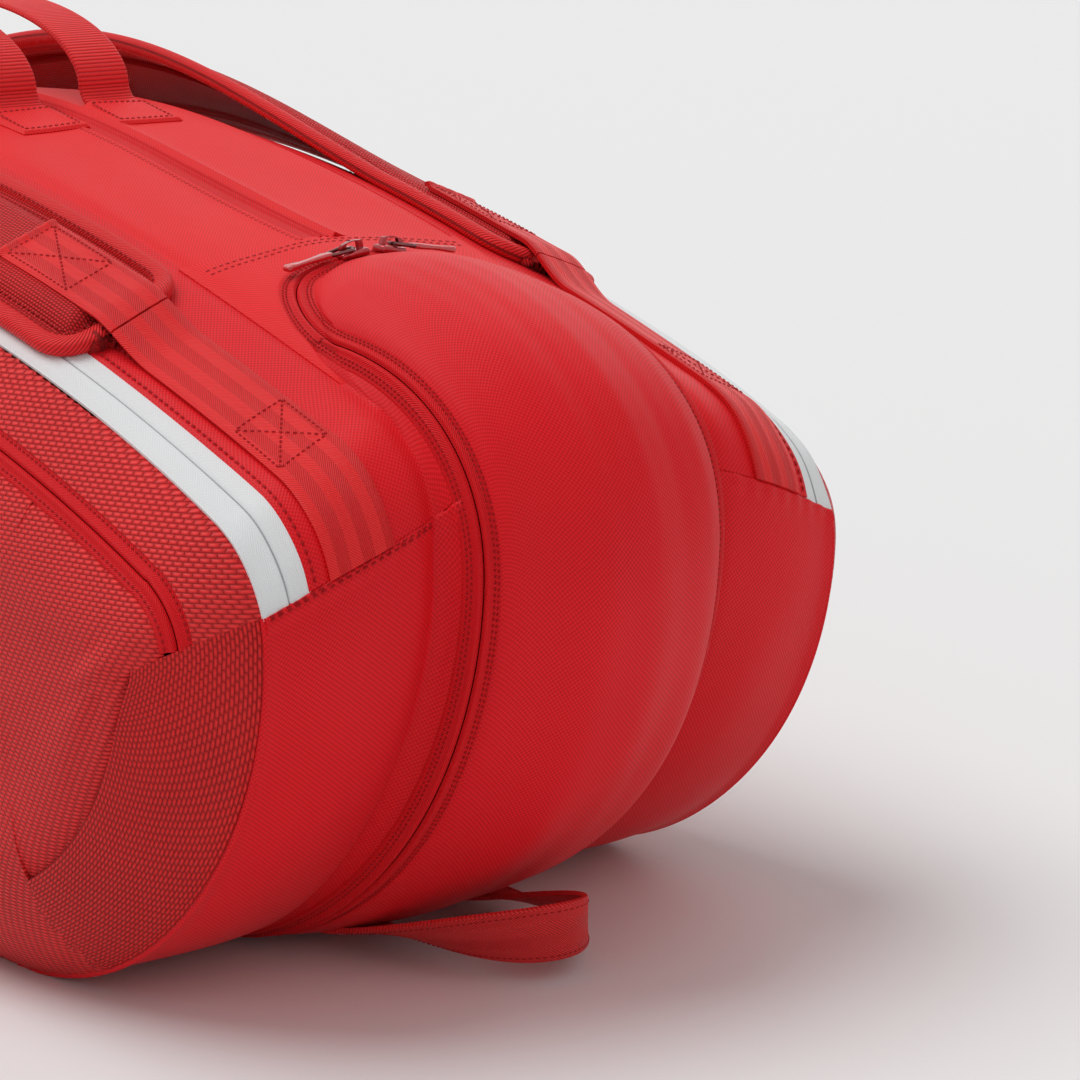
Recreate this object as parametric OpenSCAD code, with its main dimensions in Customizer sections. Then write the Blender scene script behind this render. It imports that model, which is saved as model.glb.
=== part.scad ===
// Three-compartment racket tournament bag with zipped ends, lids, pockets, straps and handles.
// X runs along the bag (the end door is at +X), Y across it and Z up from the floor.

/* [Bag] */
// Overall length, over the bulge of the end door
bag_l = 790; // [640:1:960]
// Width of the bag between its two side seams
body_w = 272; // [240:1:330]
// Height of the top panel at mid-length
top_h = 300; // [270:1:360]
// Height of the side seam at mid-length
edge_h = 262; // [235:1:310]
// Height of the end seam where it meets the side seam
seam_h = 150; // [130:1:170]
// Width of the centre compartment
centre_w = 132; // [110:1:150]
// Thickness of a padded panel
panel_t = 3; // [2:0.5:5]
// Length of the flat bottom
floor_l = 410; // [300:1:450]

/* [Side lids and pockets] */
// How far a side pocket stands out from the side seam
pocket_d = 34; // [26:1:40]
// Distance of the pocket zip below the side seam
pocket_inset = 22; // [16:1:28]
// Height at which the pocket zip ends
pocket_end_z = 146; // [130:1:160]
// Width of a main zip's tape
main_tape_w = 16; // [12:1:20]

/* [End door] */
// Width of the door inside its zip
door_w = 114; // [90:1:118]
// How far the door bulges past the crease beside it
door_bulge = 27; // [15:1:35]
// Height of the line on which the door folds down
door_fold_z = 66; // [50:1:80]

/* [Top flaps] */
// Near end of the top zip
flap_x1 = 222; // [190:1:235]
// Far end of the top zip
flap_x0 = -150; // [-200:1:-120]

/* [Straps and handles] */
// Width of all webbing
web_w = 25; // [20:1:28]
// Thickness of the webbing
web_t = 2; // [1.5:0.1:3]
// Width of a shoulder pad
pad_w = 56; // [46:1:60]
// Thickness of a shoulder pad
pad_t = 8; // [5:1:12]
// Near end of a shoulder pad
pad_x1 = 234; // [200:1:245]
// Far end of a shoulder pad
pad_x0 = -230; // [-260:1:-190]
// Distance of a pad's centreline from the middle of the bag
pad_y = 99; // [95:1:104]
// How far the lifted right strap stands above its lobe at its highest
strap_lift = 27; // [15:1:45]
// Distance between the two ends of a grab handle
handle_span = 172; // [120:1:190]
// Height of a grab handle above the top panel
handle_h = 34; // [28:1:60]
// Distance of a grab handle's centreline from the top zip
handle_y = 23; // [20:1:32]
// Far end of a grab handle
handle_x0 = -120; // [-125:1:-60]

/* [Zip sliders] */
// Length of a slider
slider_l = 12; // [8:0.5:16]
// Width of a slider
slider_w = 8; // [6:0.5:11]
// Height of a slider above its coil
slider_h = 4; // [3:0.5:6]
// Length of a pull
pull_l = 30; // [20:1:40]

/* [Hidden] */

red = [0.78, 0.05, 0.05];
deep_red = [0.62, 0.03, 0.04];
white = [0.93, 0.93, 0.93];
metal = [0.45, 0.08, 0.09];

half_l = bag_l / 2;
edge_y = body_w / 2;
crease_y = centre_w / 2;
floor_x = floor_l / 2;
gap = 0.4;
gap_s = 0.011;
skin = 0.5;
tape_t = 1.5;
seam_s = 1.77;
door_top_s = 1.0;
door_corner_s = 0.86;
main_coil_y = edge_y - 8;
hinge_y = crease_y - 4;
crease_x = half_l - door_bulge;
edge_x = half_l - 35;
far_k = half_l / crease_x;

// Outlines of one end in X and Z: over the top, round the shoulder to the tip, and under to the floor.
edge_outline = [
    [0, edge_h], [0.33 * half_l, edge_h], [0.66 * half_l, edge_h - 40],
    [edge_x - 25, seam_h + 36], [edge_x - 13, seam_h + 29], [edge_x, seam_h + 16],
    [edge_x, seam_h - 5], [edge_x, 0.55 * seam_h], [edge_x - 60, 0], [floor_x, 0],
];
crease_outline = [
    [0, top_h - 6], [0.3 * half_l, top_h - 6], [0.61 * half_l, top_h - 50],
    [crease_x - 33, seam_h + 69], [crease_x - 13, seam_h + 62], [crease_x + 1, seam_h + 45],
    [crease_x, seam_h + 18], [crease_x - 1, 0.65 * seam_h], [crease_x - 63, 0], [floor_x, 0],
];
centre_outline = [
    [0, top_h], [0.23 * half_l, top_h], [0.43 * half_l, top_h - 34],
    [half_l - 145, top_h - 44], [half_l - 85, top_h - 38], [half_l - 2, seam_h + 85],
    [half_l, seam_h + 10], [half_l, 0.55 * seam_h], [half_l - 70, 0], [floor_x, 0],
];

function mix(a, b, w) = a * (1 - w) + b * w;
function bezier(p, t) =
    p[0] * (1 - t) ^ 3 + 3 * p[1] * t * (1 - t) ^ 2 + 3 * p[2] * t ^ 2 * (1 - t) + p[3] * t ^ 3;
function on_outline(o, s) =
    let (k = min(floor(s), 2)) bezier([for (i = [0:3]) o[3 * k + i]], s - k);

// Point of the bag's skin: s runs from 0 at the top to 3 at the floor at the near end,
// and to -3 at the far end; y is the distance from the middle.
function ring(s, y) =
    let (
        a = abs(y),
        near = s >= 0,
        lobe = max(0, (a - crease_y) / (edge_y - crease_y)),
        dome = a < crease_y ? (1 - (a / crease_y) ^ 2) ^ 0.6 : 0,
        crease = on_outline(crease_outline, abs(s)),
        edge = on_outline(edge_outline, abs(s)),
        middle = near ? on_outline(centre_outline, s) : crease + [0, max(0, 6 - 6 * abs(s))],
        p = a < crease_y ? mix(crease, middle, dome) : mix(crease, edge, lobe)
    )
    [near ? p[0] : -p[0] * far_k, y, p[1]];

// s of the skin at a given x on the top, found by halving
function s_at(x, y, lo = -2, hi = 2, n = 18) =
    n == 0 ? (lo + hi) / 2
    : let (m = (lo + hi) / 2) ring(m, y)[0] < x ? s_at(x, y, m, hi, n - 1) : s_at(x, y, lo, m, n - 1);
function top(x, y) = ring(s_at(x, y), y);
function unit(v) = v / norm(v);

// s of the near end's middle outline at height z below its tip, found by halving
function s_of_z(z, lo = 2, hi = 3, n = 18) =
    n == 0 ? (lo + hi) / 2
    : let (m = (lo + hi) / 2)
        on_outline(centre_outline, m)[1] > z ? s_of_z(z, m, hi, n - 1) : s_of_z(z, lo, m, n - 1);
fold_s = s_of_z(door_fold_z);

// A closed sheet over the surface f(u, v), from t0 to t1 along its normal
module sheet(f, nu, nv, t0, t1) {
    e = 0.01;
    base = [for (i = [0:nu]) for (j = [0:nv]) f(i / nu, j / nv)];
    up = [
        for (i = [0:nu]) for (j = [0:nv])
            let (
                u = i / nu, v = j / nv,
                du = u < 0.5 ? f(u + e, v) - f(u, v) : f(u, v) - f(u - e, v),
                dv = v < 0.5 ? f(u, v + e) - f(u, v) : f(u, v) - f(u, v - e)
            )
            unit(cross(du, dv))
    ];
    m = nv + 1;
    n = len(base);
    points = concat(
        [for (i = [0:n - 1]) base[i] + up[i] * t1],
        [for (i = [0:n - 1]) base[i] + up[i] * t0]
    );
    outer = [
        for (i = [0:nu - 1]) for (j = [0:nv - 1])
            for (q = [[0, 1, m], [1, m + 1, m]]) [for (k = q) i * m + j + k]
    ];
    inner = [for (q = outer) [q[2] + n, q[1] + n, q[0] + n]];
    rim = concat(
        [for (j = [0:nv]) j],
        [for (i = [1:nu]) i * m + nv],
        [for (j = [1:nv]) nu * m + nv - j],
        [for (i = [1:nu - 1]) (nu - i) * m]
    );
    walls = [
        for (i = [0:len(rim) - 1])
            let (a = rim[i], b = rim[(i + 1) % len(rim)])
            for (q = [[a, a + n, b], [b, a + n, b + n]]) q
    ];
    polyhedron(points, concat(outer, inner, walls), convexity = 6);
}

// A panel of the skin between two s lines and two y lines
module panel(s0, s1, y0, y1, nu, nv, t0 = -panel_t, t1 = 0) {
    sheet(function(u, v) ring(mix(s0, s1, u), mix(y0, y1, v)), nu, nv, t0, t1);
}

// ---- Carcass ----

// The near end's outline at the side seam or the crease, moved inwards by d
function side_points(o, d, n = 8) =
    [
        for (s = [-3:1 / n:3])
            let (
                e = 0.01,
                g = function(q) let (p = on_outline(o, abs(q))) [q >= 0 ? p[0] : -p[0] * far_k, p[1]],
                t = s < 0 ? g(s + e) - g(s) : g(s) - g(s - e)
            )
            g(s) + unit([t[1], -t[0]]) * d
    ];

module upright(y, t) {
    translate([0, y + t, 0]) rotate([90, 0, 0]) linear_extrude(t) children();
}

module bottom_panel() {
    color(deep_red)
        translate([-floor_x * far_k + 2 * gap, -edge_y, 0])
            cube([floor_x * (1 + far_k) - 4 * gap, body_w, panel_t]);
}

module base_board() {
    color("dimgray")
        translate([-floor_x * far_k + 12, -crease_y + 8, panel_t])
            cube([floor_x * (1 + far_k) - 24, centre_w - 16, 2.5]);
}

module left_divider() {
    color(deep_red)
        upright(-crease_y - 0.5, panel_t) polygon(side_points(crease_outline, panel_t + 3 * gap));
}

module left_top_panel() {
    color(red) panel(-seam_s, seam_s, -edge_y + main_tape_w + gap, -hinge_y - 1, 30, 6);
}

module left_near_end_panel() {
    color(red) panel(seam_s + gap_s, 3, -edge_y, -hinge_y - 1, 12, 6);
}

module left_far_end_panel() {
    color(red) panel(-3, -seam_s - gap_s, -edge_y, -crease_y, 12, 6);
}

module centre_far_panel() {
    color(red) panel(-3, -seam_s - gap_s, -crease_y + 2 * gap, crease_y - 2 * gap, 12, 10);
}

module centre_rear_top_panel() {
    color(red)
        sheet(
            function(u, v)
                let (y = mix(-hinge_y, hinge_y, v)) ring(mix(-seam_s, s_at(flap_x0 - gap, y), u), y),
            10, 10, -panel_t, 0
        );
}

function door_s(y) = mix(door_top_s, door_corner_s, (2 * abs(y) / door_w) ^ 2);

module centre_front_top_panel() {
    color(red)
        sheet(
            function(u, v)
                let (y = mix(-hinge_y, hinge_y, v))
                ring(mix(s_at(flap_x1 + gap, y), door_s(min(abs(y), door_w / 2)) - 0.01, u), y),
            3, 12, -panel_t, 0
        );
}

// The two sides of the end opening, which carry the fixed half of the door zip
module door_surround() {
    y0 = door_w / 2 + gap;
    y1 = hinge_y + skin;
    color(deep_red)
        for (k = [-1, 1])
            sheet(
                function(u, v)
                    ring(mix(door_corner_s + 0.01, 3, u), k * mix(k > 0 ? y0 : y1, k > 0 ? y1 : y0, v)),
                22, 1, -panel_t, 0
            );
}

module door_foot() {
    color(red) panel(fold_s + 0.01, 3, -door_w / 2, door_w / 2, 6, 10);
}

module left_main_tape() {
    color(white) panel(-seam_s, seam_s, -main_coil_y + 0.3, -edge_y + main_tape_w, 30, 1, -tape_t, 0);
}

// ---- End door ----

module end_door() {
    color(red)
        sheet(
            function(u, v)
                let (y = mix(-1, 1, v) * (door_w / 2 - 6 - gap)) ring(mix(door_s(y) + 0.045, fold_s, u), y),
            16, 12, -panel_t, 0
        );
}

// The moving half of the door zip, round the door's edge
module door_tape() {
    y0 = door_w / 2 - 6;
    y1 = door_w / 2;
    color(deep_red) {
        for (k = [-1, 1])
            sheet(
                function(u, v)
                    ring(mix(door_s(y1) + 0.02, fold_s, u), k * mix(k > 0 ? y0 : y1, k > 0 ? y1 : y0, v)),
                16, 1, -tape_t, 0
            );
        sheet(
            function(u, v)
                let (y = mix(-y0, y0, v)) ring(door_s(y) + mix(0.01, 0.04, u), y),
            1, 12, -tape_t, 0
        );
    }
}

// ---- Side lids and pockets ----

// The side's pillow shape between two depths, each an outline moved in and out
side_layers = [[0, 0], [0.35, 12], [0.68, 26], [0.92, 38], [1, 54]];

module pillow(d) {
    hull()
        for (k = side_layers)
            upright(-edge_y - gap - k[0] * pocket_d + d + (k[0] == 0 ? 1 : 0), 0.1)
                polygon(side_points(edge_outline, k[1] + d + (k[0] == 0 ? 0 : gap), 6));
}

module pillow_shell() {
    difference() {
        pillow(0);
        pillow(panel_t);
        translate([-bag_l, -edge_y - gap, -1]) cube([2 * bag_l, 50, top_h]);
        translate([-bag_l, -edge_y - 60, -1]) cube([2 * bag_l, 100, 8]);
    }
}

// The region below the pocket zip, grown by d
module below_zip(d) {
    z = pocket_end_z + d;
    rise = [for (p = side_points(edge_outline, pocket_inset - d, 6)) if (p[1] > z) p];
    upright(-edge_y - 80, 90)
        polygon(concat(
            [[bag_l, z], [bag_l, -10], [-bag_l, -10], [-bag_l, z], [rise[0][0], z]],
            rise,
            [[rise[len(rise) - 1][0], z]]
        ));
}

// Point of the side at outline place s and depth d inside the outline
function side_at(s, d) =
    let (
        e = 0.01,
        g = function(q) let (p = on_outline(edge_outline, abs(q))) [q >= 0 ? p[0] : -p[0] * far_k, p[1]],
        t = s < 0 ? g(s + e) - g(s) : g(s) - g(s - e),
        p = g(s) + unit([t[1], -t[0]]) * d
    )
    [p[0], -edge_y - gap - pocket_d * lookup(d, [for (k = side_layers) [k[1], k[0]]]), p[1]];

module left_side_strip() {
    s1 = seam_s + 0.05;
    d0 = tape_t + skin;
    d1 = pocket_inset - 0.8 * panel_t;
    color(deep_red)
        sheet(function(u, v) side_at(mix(-s1, s1, u), mix(d1, d0, v)), 36, 4, -panel_t, 0);
}

module left_side_pocket() {
    color(deep_red) intersection() {
        pillow_shell();
        below_zip(-gap);
    }
}

// How far inside the side seam the lid's inner wall ends
side_inset = 11;

// The lid's inner wall, which is also the back of the side pocket
module left_side_panel() {
    color("firebrick") difference() {
        upright(-edge_y - panel_t - gap, panel_t) polygon(side_points(edge_outline, side_inset, 8));
        translate([-bag_l, -edge_y - 50, -1]) cube([2 * bag_l, 100, 9]);
    }
}

module left_lid_tape() {
    color(white) panel(-seam_s, seam_s, -edge_y, -main_coil_y - 0.3, 30, 1, -tape_t, 0);
}

// ---- Top flaps and handles ----

// Half the slit between the flaps, which widens towards its ends, so that both flaps can lift together
flap_gap = 1;
flap_gap_end = 6;
flap_mid = (flap_x0 + flap_x1) / 2;
function slit(x) =
    flap_gap + (flap_gap_end - flap_gap) * ((x - flap_mid) / (flap_x1 - flap_mid)) ^ 4;

module left_top_flap() {
    color(red)
        sheet(
            function(u, v)
                let (x = mix(flap_x0, flap_x1, u)) top(x, mix(-hinge_y + gap, -slit(x), v)),
            16, 5, -panel_t, 0
        );
}

// The coil lies on the zip's left edge and rides with the left flap
module top_zip_coil() {
    color("maroon")
        sheet(
            function(u, v)
                let (x = mix(flap_x0, flap_x1 - 2, u)) top(x, -slit(x) - mix(3.6, 0, v)),
            16, 1, 0.2, tape_t
        );
}

// A handle turns on a rounded root at each end, which is sewn to the flap under a patch
root_r = 3;
root_rise = 5.5;
root_l = 4;
patch_l = 28;
handle_x1 = handle_x0 + handle_span;
function root_z(x) = top(x, -handle_y)[2] + root_rise;
handle_axis_z = max(root_z(handle_x0), root_z(handle_x1));

module left_grab_handle() {
    steps = 24;
    lift_off = root_r + 0.3;
    arch = function(t, h, w) [-w / 2 * cos(180 * t), h * sin(180 * t)];
    inner = [for (i = [0:steps]) arch(i / steps, handle_h - web_t, handle_span - 2 * web_t)];
    outer = [for (i = [steps:-1:0]) arch(i / steps, handle_h, handle_span)];
    color(red)
        translate([(handle_x0 + handle_x1) / 2, -handle_y + web_w / 2, handle_axis_z + lift_off])
            rotate([90, 0, 0])
                linear_extrude(web_w) polygon(concat(inner, outer));
}

module left_handle_roots() {
    color(deep_red)
        for (k = [[handle_x0, -1], [handle_x1, 1]]) {
            x = k[0] - (k[1] > 0 ? web_t : 0);
            sheet(
                function(u, v)
                    top(x + mix(-6, patch_l - 6, k[1] > 0 ? u : 1 - u) * k[1] + (k[1] > 0 ? 0 : web_t),
                        -handle_y + mix(-1, 1, v) * web_w / 2 ) + [0, 0, skin],
                6, 2, 0, web_t
            );
            z = top(x, -handle_y)[2] + skin + 0.5;
            translate([x - (root_l - web_t) / 2, -handle_y - root_r, z])
                cube([root_l, 2 * root_r, handle_axis_z - z]);
            translate([x - (root_l - web_t) / 2, -handle_y, handle_axis_z])
                rotate([0, 90, 0]) cylinder(r = root_r, h = root_l, $fn = 48);
        }
}

// ---- Shoulder straps ----

web_y = 92;
box_x = 322;
web_past = 3;

// Where the lifted strap comes down onto the bag, at its far and near ends
lift_x0 = -half_l * 0.8;
lift_x1 = 164;

// Height of a strap above the skin; 0 on the lying strap
function lift(x, h) =
    x <= lift_x0 || x >= lift_x1 ? 0 : h * sin(180 * (x - lift_x0) / (lift_x1 - lift_x0)) ^ 1.5;
function strap_point(x, y, h) = top(x, y) + [0, 0, lift(x, h)];
// Step of length d off the strap, square to it
function off_strap(x, h, d) =
    let (
        along = strap_point(x + 0.5, -web_y, h) - strap_point(x - 0.5, -web_y, h),
        across = strap_point(x, -web_y + 5, h) - strap_point(x, -web_y - 5, h)
    )
    unit(cross(along, across)) * d;
function pad_half(x) =
    let (e = min(pad_x1 - x, x - pad_x0), r = 30) pad_w / 2 * (e < r ? sqrt(max(0.08, 1 - (1 - e / r) ^ 2)) : 1);

module shoulder_pad(h) {
    sheet(
        function(u, v)
            let (x = mix(pad_x0, pad_x1, u)) strap_point(x, -pad_y + mix(-1, 1, v) * pad_half(x), h),
        26, 4, skin, skin + pad_t
    );
}

// Webbing from x0 to x1 on the line y = -web_y, z0 off the skin at x0 and z1 at x1
module webbing(x0, x1, h, z0, z1, nu) {
    sheet(
        function(u, v)
            let (x = mix(x0, x1, u))
            strap_point(x, -web_y + mix(-1, 1, v) * web_w / 2, h) + off_strap(x, h, mix(z0, z1, u)),
        nu, 2, 0, web_t
    );
}

on_pad = pad_t + 2 * skin;

module pad_webbing(h) { webbing(pad_x0 - web_past, pad_x1 + web_past, h, on_pad, on_pad, 26); }
module near_webbing(h) { webbing(pad_x1 + web_past + 2 * gap, box_x, h, on_pad, skin, 8); }
module far_webbing(h) { webbing(-box_x - 12, pad_x0 - web_past - 2 * gap, h, skin, on_pad, 8); }

// ---- End grab loop ----

loop_x0 = half_l - 125;
loop_x1 = half_l - 43;
loop_y = 32;

// Point of the skin under the near end at a given x, found by halving
function under(x, y, lo = 2, hi = 3, n = 18) =
    n == 0 ? ring((lo + hi) / 2, y)
    : let (m = (lo + hi) / 2) ring(m, y)[0] > x ? under(x, y, m, hi, n - 1) : under(x, y, lo, m, n - 1);

// The loop lies flat under the bag where it is sewn, and stands on edge at its front
module end_grab_loop() {
    z0 = under(loop_x0, loop_y + web_w / 2)[2] - web_t / 2 - 3 * gap;
    color(red)
        sheet(
            function(u, v)
                let (a = 180 * u, c = sin(a), q = (v - 0.5) * web_w, turn = 80 * c)
                [
                    mix(loop_x0, loop_x1, c ^ 0.8) + q * 0.35 * c,
                    -loop_y * cos(a) - q * cos(turn),
                    z0 + 13 * c + q * sin(turn),
                ],
            20, 2, -web_t / 2, web_t / 2
        );
}

// ---- Zip sliders and pulls ----

pull_axis_z = slider_h - 0.3;

// A slider on a coil that runs along X, its nose towards +X, with the pull's bridge on top
module slider() {
    color(metal) {
        translate([-slider_l / 2, -slider_w / 2, 0]) cube([slider_l, slider_w, slider_h - 1.5]);
        for (x = [-slider_l / 2 + 1, slider_l / 2 - 3])
            translate([x, -1, slider_h - 1.5]) cube([2, 2, 2.4]);
        translate([-slider_l / 2 + 1, -1, slider_h + 0.9]) cube([slider_l - 2, 2, 1.2]);
    }
}

// The bail passes under the slider's bridge and carries a moulded tab; it lies along +X
module pull() {
    wire = 0.8;
    bail_l = 11;
    bail_w = 8;
    translate([0, 0, pull_axis_z]) {
        color(metal) {
            rotate([90, 0, 0]) cylinder(r = wire, h = bail_w, center = true, $fn = 32);
            for (k = [-1, 1])
                translate([0, k * (bail_w / 2 - wire) - wire, -wire]) cube([bail_l, 2 * wire, 2 * wire]);
            translate([bail_l - 2 * wire, -bail_w / 2, -wire]) cube([2 * wire, bail_w, 2 * wire]);
        }
        color(red) hull() {
            translate([bail_l - wire, -2.5, -1.1]) cube([1, 5, 2.2]);
            translate([pull_l - 3, 0, -1.1]) cylinder(r = 3, h = 2.2, $fn = 32);
        }
    }
}

// Places a zip's slider d above the skin at x and y, tilted to the skin, turned by a about Z
module at_top(x, y, a, d = tape_t) {
    p = top(x, y);
    q = top(x + 1, y);
    translate(p + [0, 0, d]) rotate([0, -atan2(q[2] - p[2], q[0] - p[0]), 0]) rotate([0, 0, a])
        children();
}

main_slider_x = -275;
top_slider_x = flap_x0 - slider_l / 2 - 1;
pocket_slider_x = 40;
door_slider_y = 9;
door_travel = 28;

function door_top(y) = ring(door_s(y) + 0.005, y);

module at_door(k) {
    p = door_top(k * door_slider_y);
    q = door_top(k * (door_slider_y + door_travel));
    translate(p + [0, 0, tape_t])
        rotate([0, 0, k > 0 ? 90 : -90])
            rotate([0, atan2(p[2] - q[2], door_travel), 0]) children();
}

module at_pocket() {
    p = on_outline(edge_outline, s_at(pocket_slider_x, -edge_y));
    translate([pocket_slider_x, -edge_y - gap - 0.66 * pocket_d - 2.5, p[1] - pocket_inset])
        rotate([48, 0, 0]) translate([0, 0, -3.6]) children();
}

module left_door_slider() { at_door(-1) slider(); }
module right_door_slider() { at_door(1) slider(); }
module left_door_pull() { at_door(-1) pull(); }
module right_door_pull() { at_door(1) pull(); }
module left_main_slider() { at_top(main_slider_x, -main_coil_y, 180) slider(); }
module left_main_pull() { at_top(main_slider_x, -main_coil_y, 180) pull(); }
module top_slider() { at_top(top_slider_x, 0, 180, skin) slider(); }
module top_pull() { at_top(top_slider_x, 0, 180, skin) pull(); }
module left_pocket_slider() { at_pocket() slider(); }
module left_pocket_pull() { at_pocket() pull(); }

module right() { mirror([0, 1, 0]) children(); }

bottom_panel();
base_board();
left_divider();
right() left_divider();  // right_divider
left_top_panel();
right() left_top_panel();  // right_top_panel
left_near_end_panel();
right() left_near_end_panel();  // right_near_end_panel
left_far_end_panel();
right() left_far_end_panel();  // right_far_end_panel
centre_far_panel();
centre_rear_top_panel();
centre_front_top_panel();
door_surround();
door_foot();
left_main_tape();
right() left_main_tape();  // right_main_tape
end_door();
door_tape();
left_side_panel();
left_side_strip();
left_lid_tape();
right() left_side_panel();  // right_side_panel
right() left_side_strip();  // right_side_strip
right() left_lid_tape();  // right_lid_tape
left_side_pocket();
right() left_side_pocket();  // right_side_pocket
left_top_flap();
right() left_top_flap();  // right_top_flap
top_zip_coil();
left_grab_handle();
right() left_grab_handle();  // right_grab_handle
left_handle_roots();
right() left_handle_roots();  // right_handle_roots
color(red) shoulder_pad(0);  // left_shoulder_pad
color(red) right() shoulder_pad(strap_lift);  // right_shoulder_pad
color(deep_red) pad_webbing(0);  // left_pad_webbing
color(deep_red) right() pad_webbing(strap_lift);  // right_pad_webbing
color(deep_red) near_webbing(0);  // left_near_webbing
color(deep_red) far_webbing(0);  // left_far_webbing
color(deep_red) right() near_webbing(strap_lift);  // right_near_webbing
color(deep_red) right() far_webbing(strap_lift);  // right_far_webbing
end_grab_loop();
left_door_slider();
right_door_slider();
left_door_pull();
right_door_pull();
left_main_slider();
right() left_main_slider();  // right_main_slider
left_main_pull();
right() left_main_pull();  // right_main_pull
top_slider();
top_pull();
left_pocket_slider();
right() left_pocket_slider();  // right_pocket_slider
left_pocket_pull();
right() left_pocket_pull();  // right_pocket_pull
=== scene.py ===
"""Looks of a three-compartment racket bag, built round its packed construction model.

Sizes are in millimetres in the classes and become metres when a mesh is made. X runs along the
bag towards the end door, Y across it and Z up. The bag's skin is one surface, ring(s, y), and
every panel, tape, strap and stitch is laid on it.
"""

import logging
import math
from dataclasses import dataclass, field
from enum import Enum
from functools import cached_property
from typing import Callable, Optional, Sequence

import bpy
import numpy as np
from mathutils import Matrix, Vector


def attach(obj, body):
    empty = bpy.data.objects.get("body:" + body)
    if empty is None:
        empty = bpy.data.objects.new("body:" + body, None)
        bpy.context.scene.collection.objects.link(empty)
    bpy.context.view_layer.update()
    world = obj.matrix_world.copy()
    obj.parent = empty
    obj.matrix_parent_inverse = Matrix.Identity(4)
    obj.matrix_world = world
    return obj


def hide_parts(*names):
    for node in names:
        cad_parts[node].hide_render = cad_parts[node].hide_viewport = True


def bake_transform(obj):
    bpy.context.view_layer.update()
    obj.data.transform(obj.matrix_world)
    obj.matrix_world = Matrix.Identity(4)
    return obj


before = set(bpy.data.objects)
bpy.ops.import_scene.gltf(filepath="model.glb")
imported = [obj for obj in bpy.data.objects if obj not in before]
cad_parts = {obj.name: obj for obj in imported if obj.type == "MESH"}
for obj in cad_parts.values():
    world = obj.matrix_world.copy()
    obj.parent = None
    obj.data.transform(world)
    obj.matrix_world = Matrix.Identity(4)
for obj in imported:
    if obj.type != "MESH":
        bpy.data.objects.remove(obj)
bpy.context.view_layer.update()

LOG = logging.getLogger("racket_bag")
MM = 0.001
FLOOR_GAP = 0.02
Array = np.ndarray
Field = Callable[[Array, Array], Array]


def unit(v: Array) -> Array:
    """The vectors of an array at length 1."""
    return v / np.maximum(np.linalg.norm(v, axis=-1, keepdims=True), 1e-9)


def mix(a: float, b: float, w: Array) -> Array:
    """Linear step from a to b."""
    return a * (1 - w) + b * w


def smooth(lo: float, hi: float, x: Array) -> Array:
    """Smooth step from 0 at lo to 1 at hi."""
    t = np.clip((x - lo) / (hi - lo), 0, 1)
    return t * t * (3 - 2 * t)


def bell(x: Array, width: float) -> Array:
    """A bump of height 1 round 0."""
    return np.exp(-((x / width) ** 2))


def runs(path: Array) -> Array:
    """How far along a path each of its points lies."""
    return np.concatenate([[0], np.cumsum(np.linalg.norm(np.diff(path, axis=0), axis=-1))])


# ---------------------------------------------------------------- the bag's skin


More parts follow.
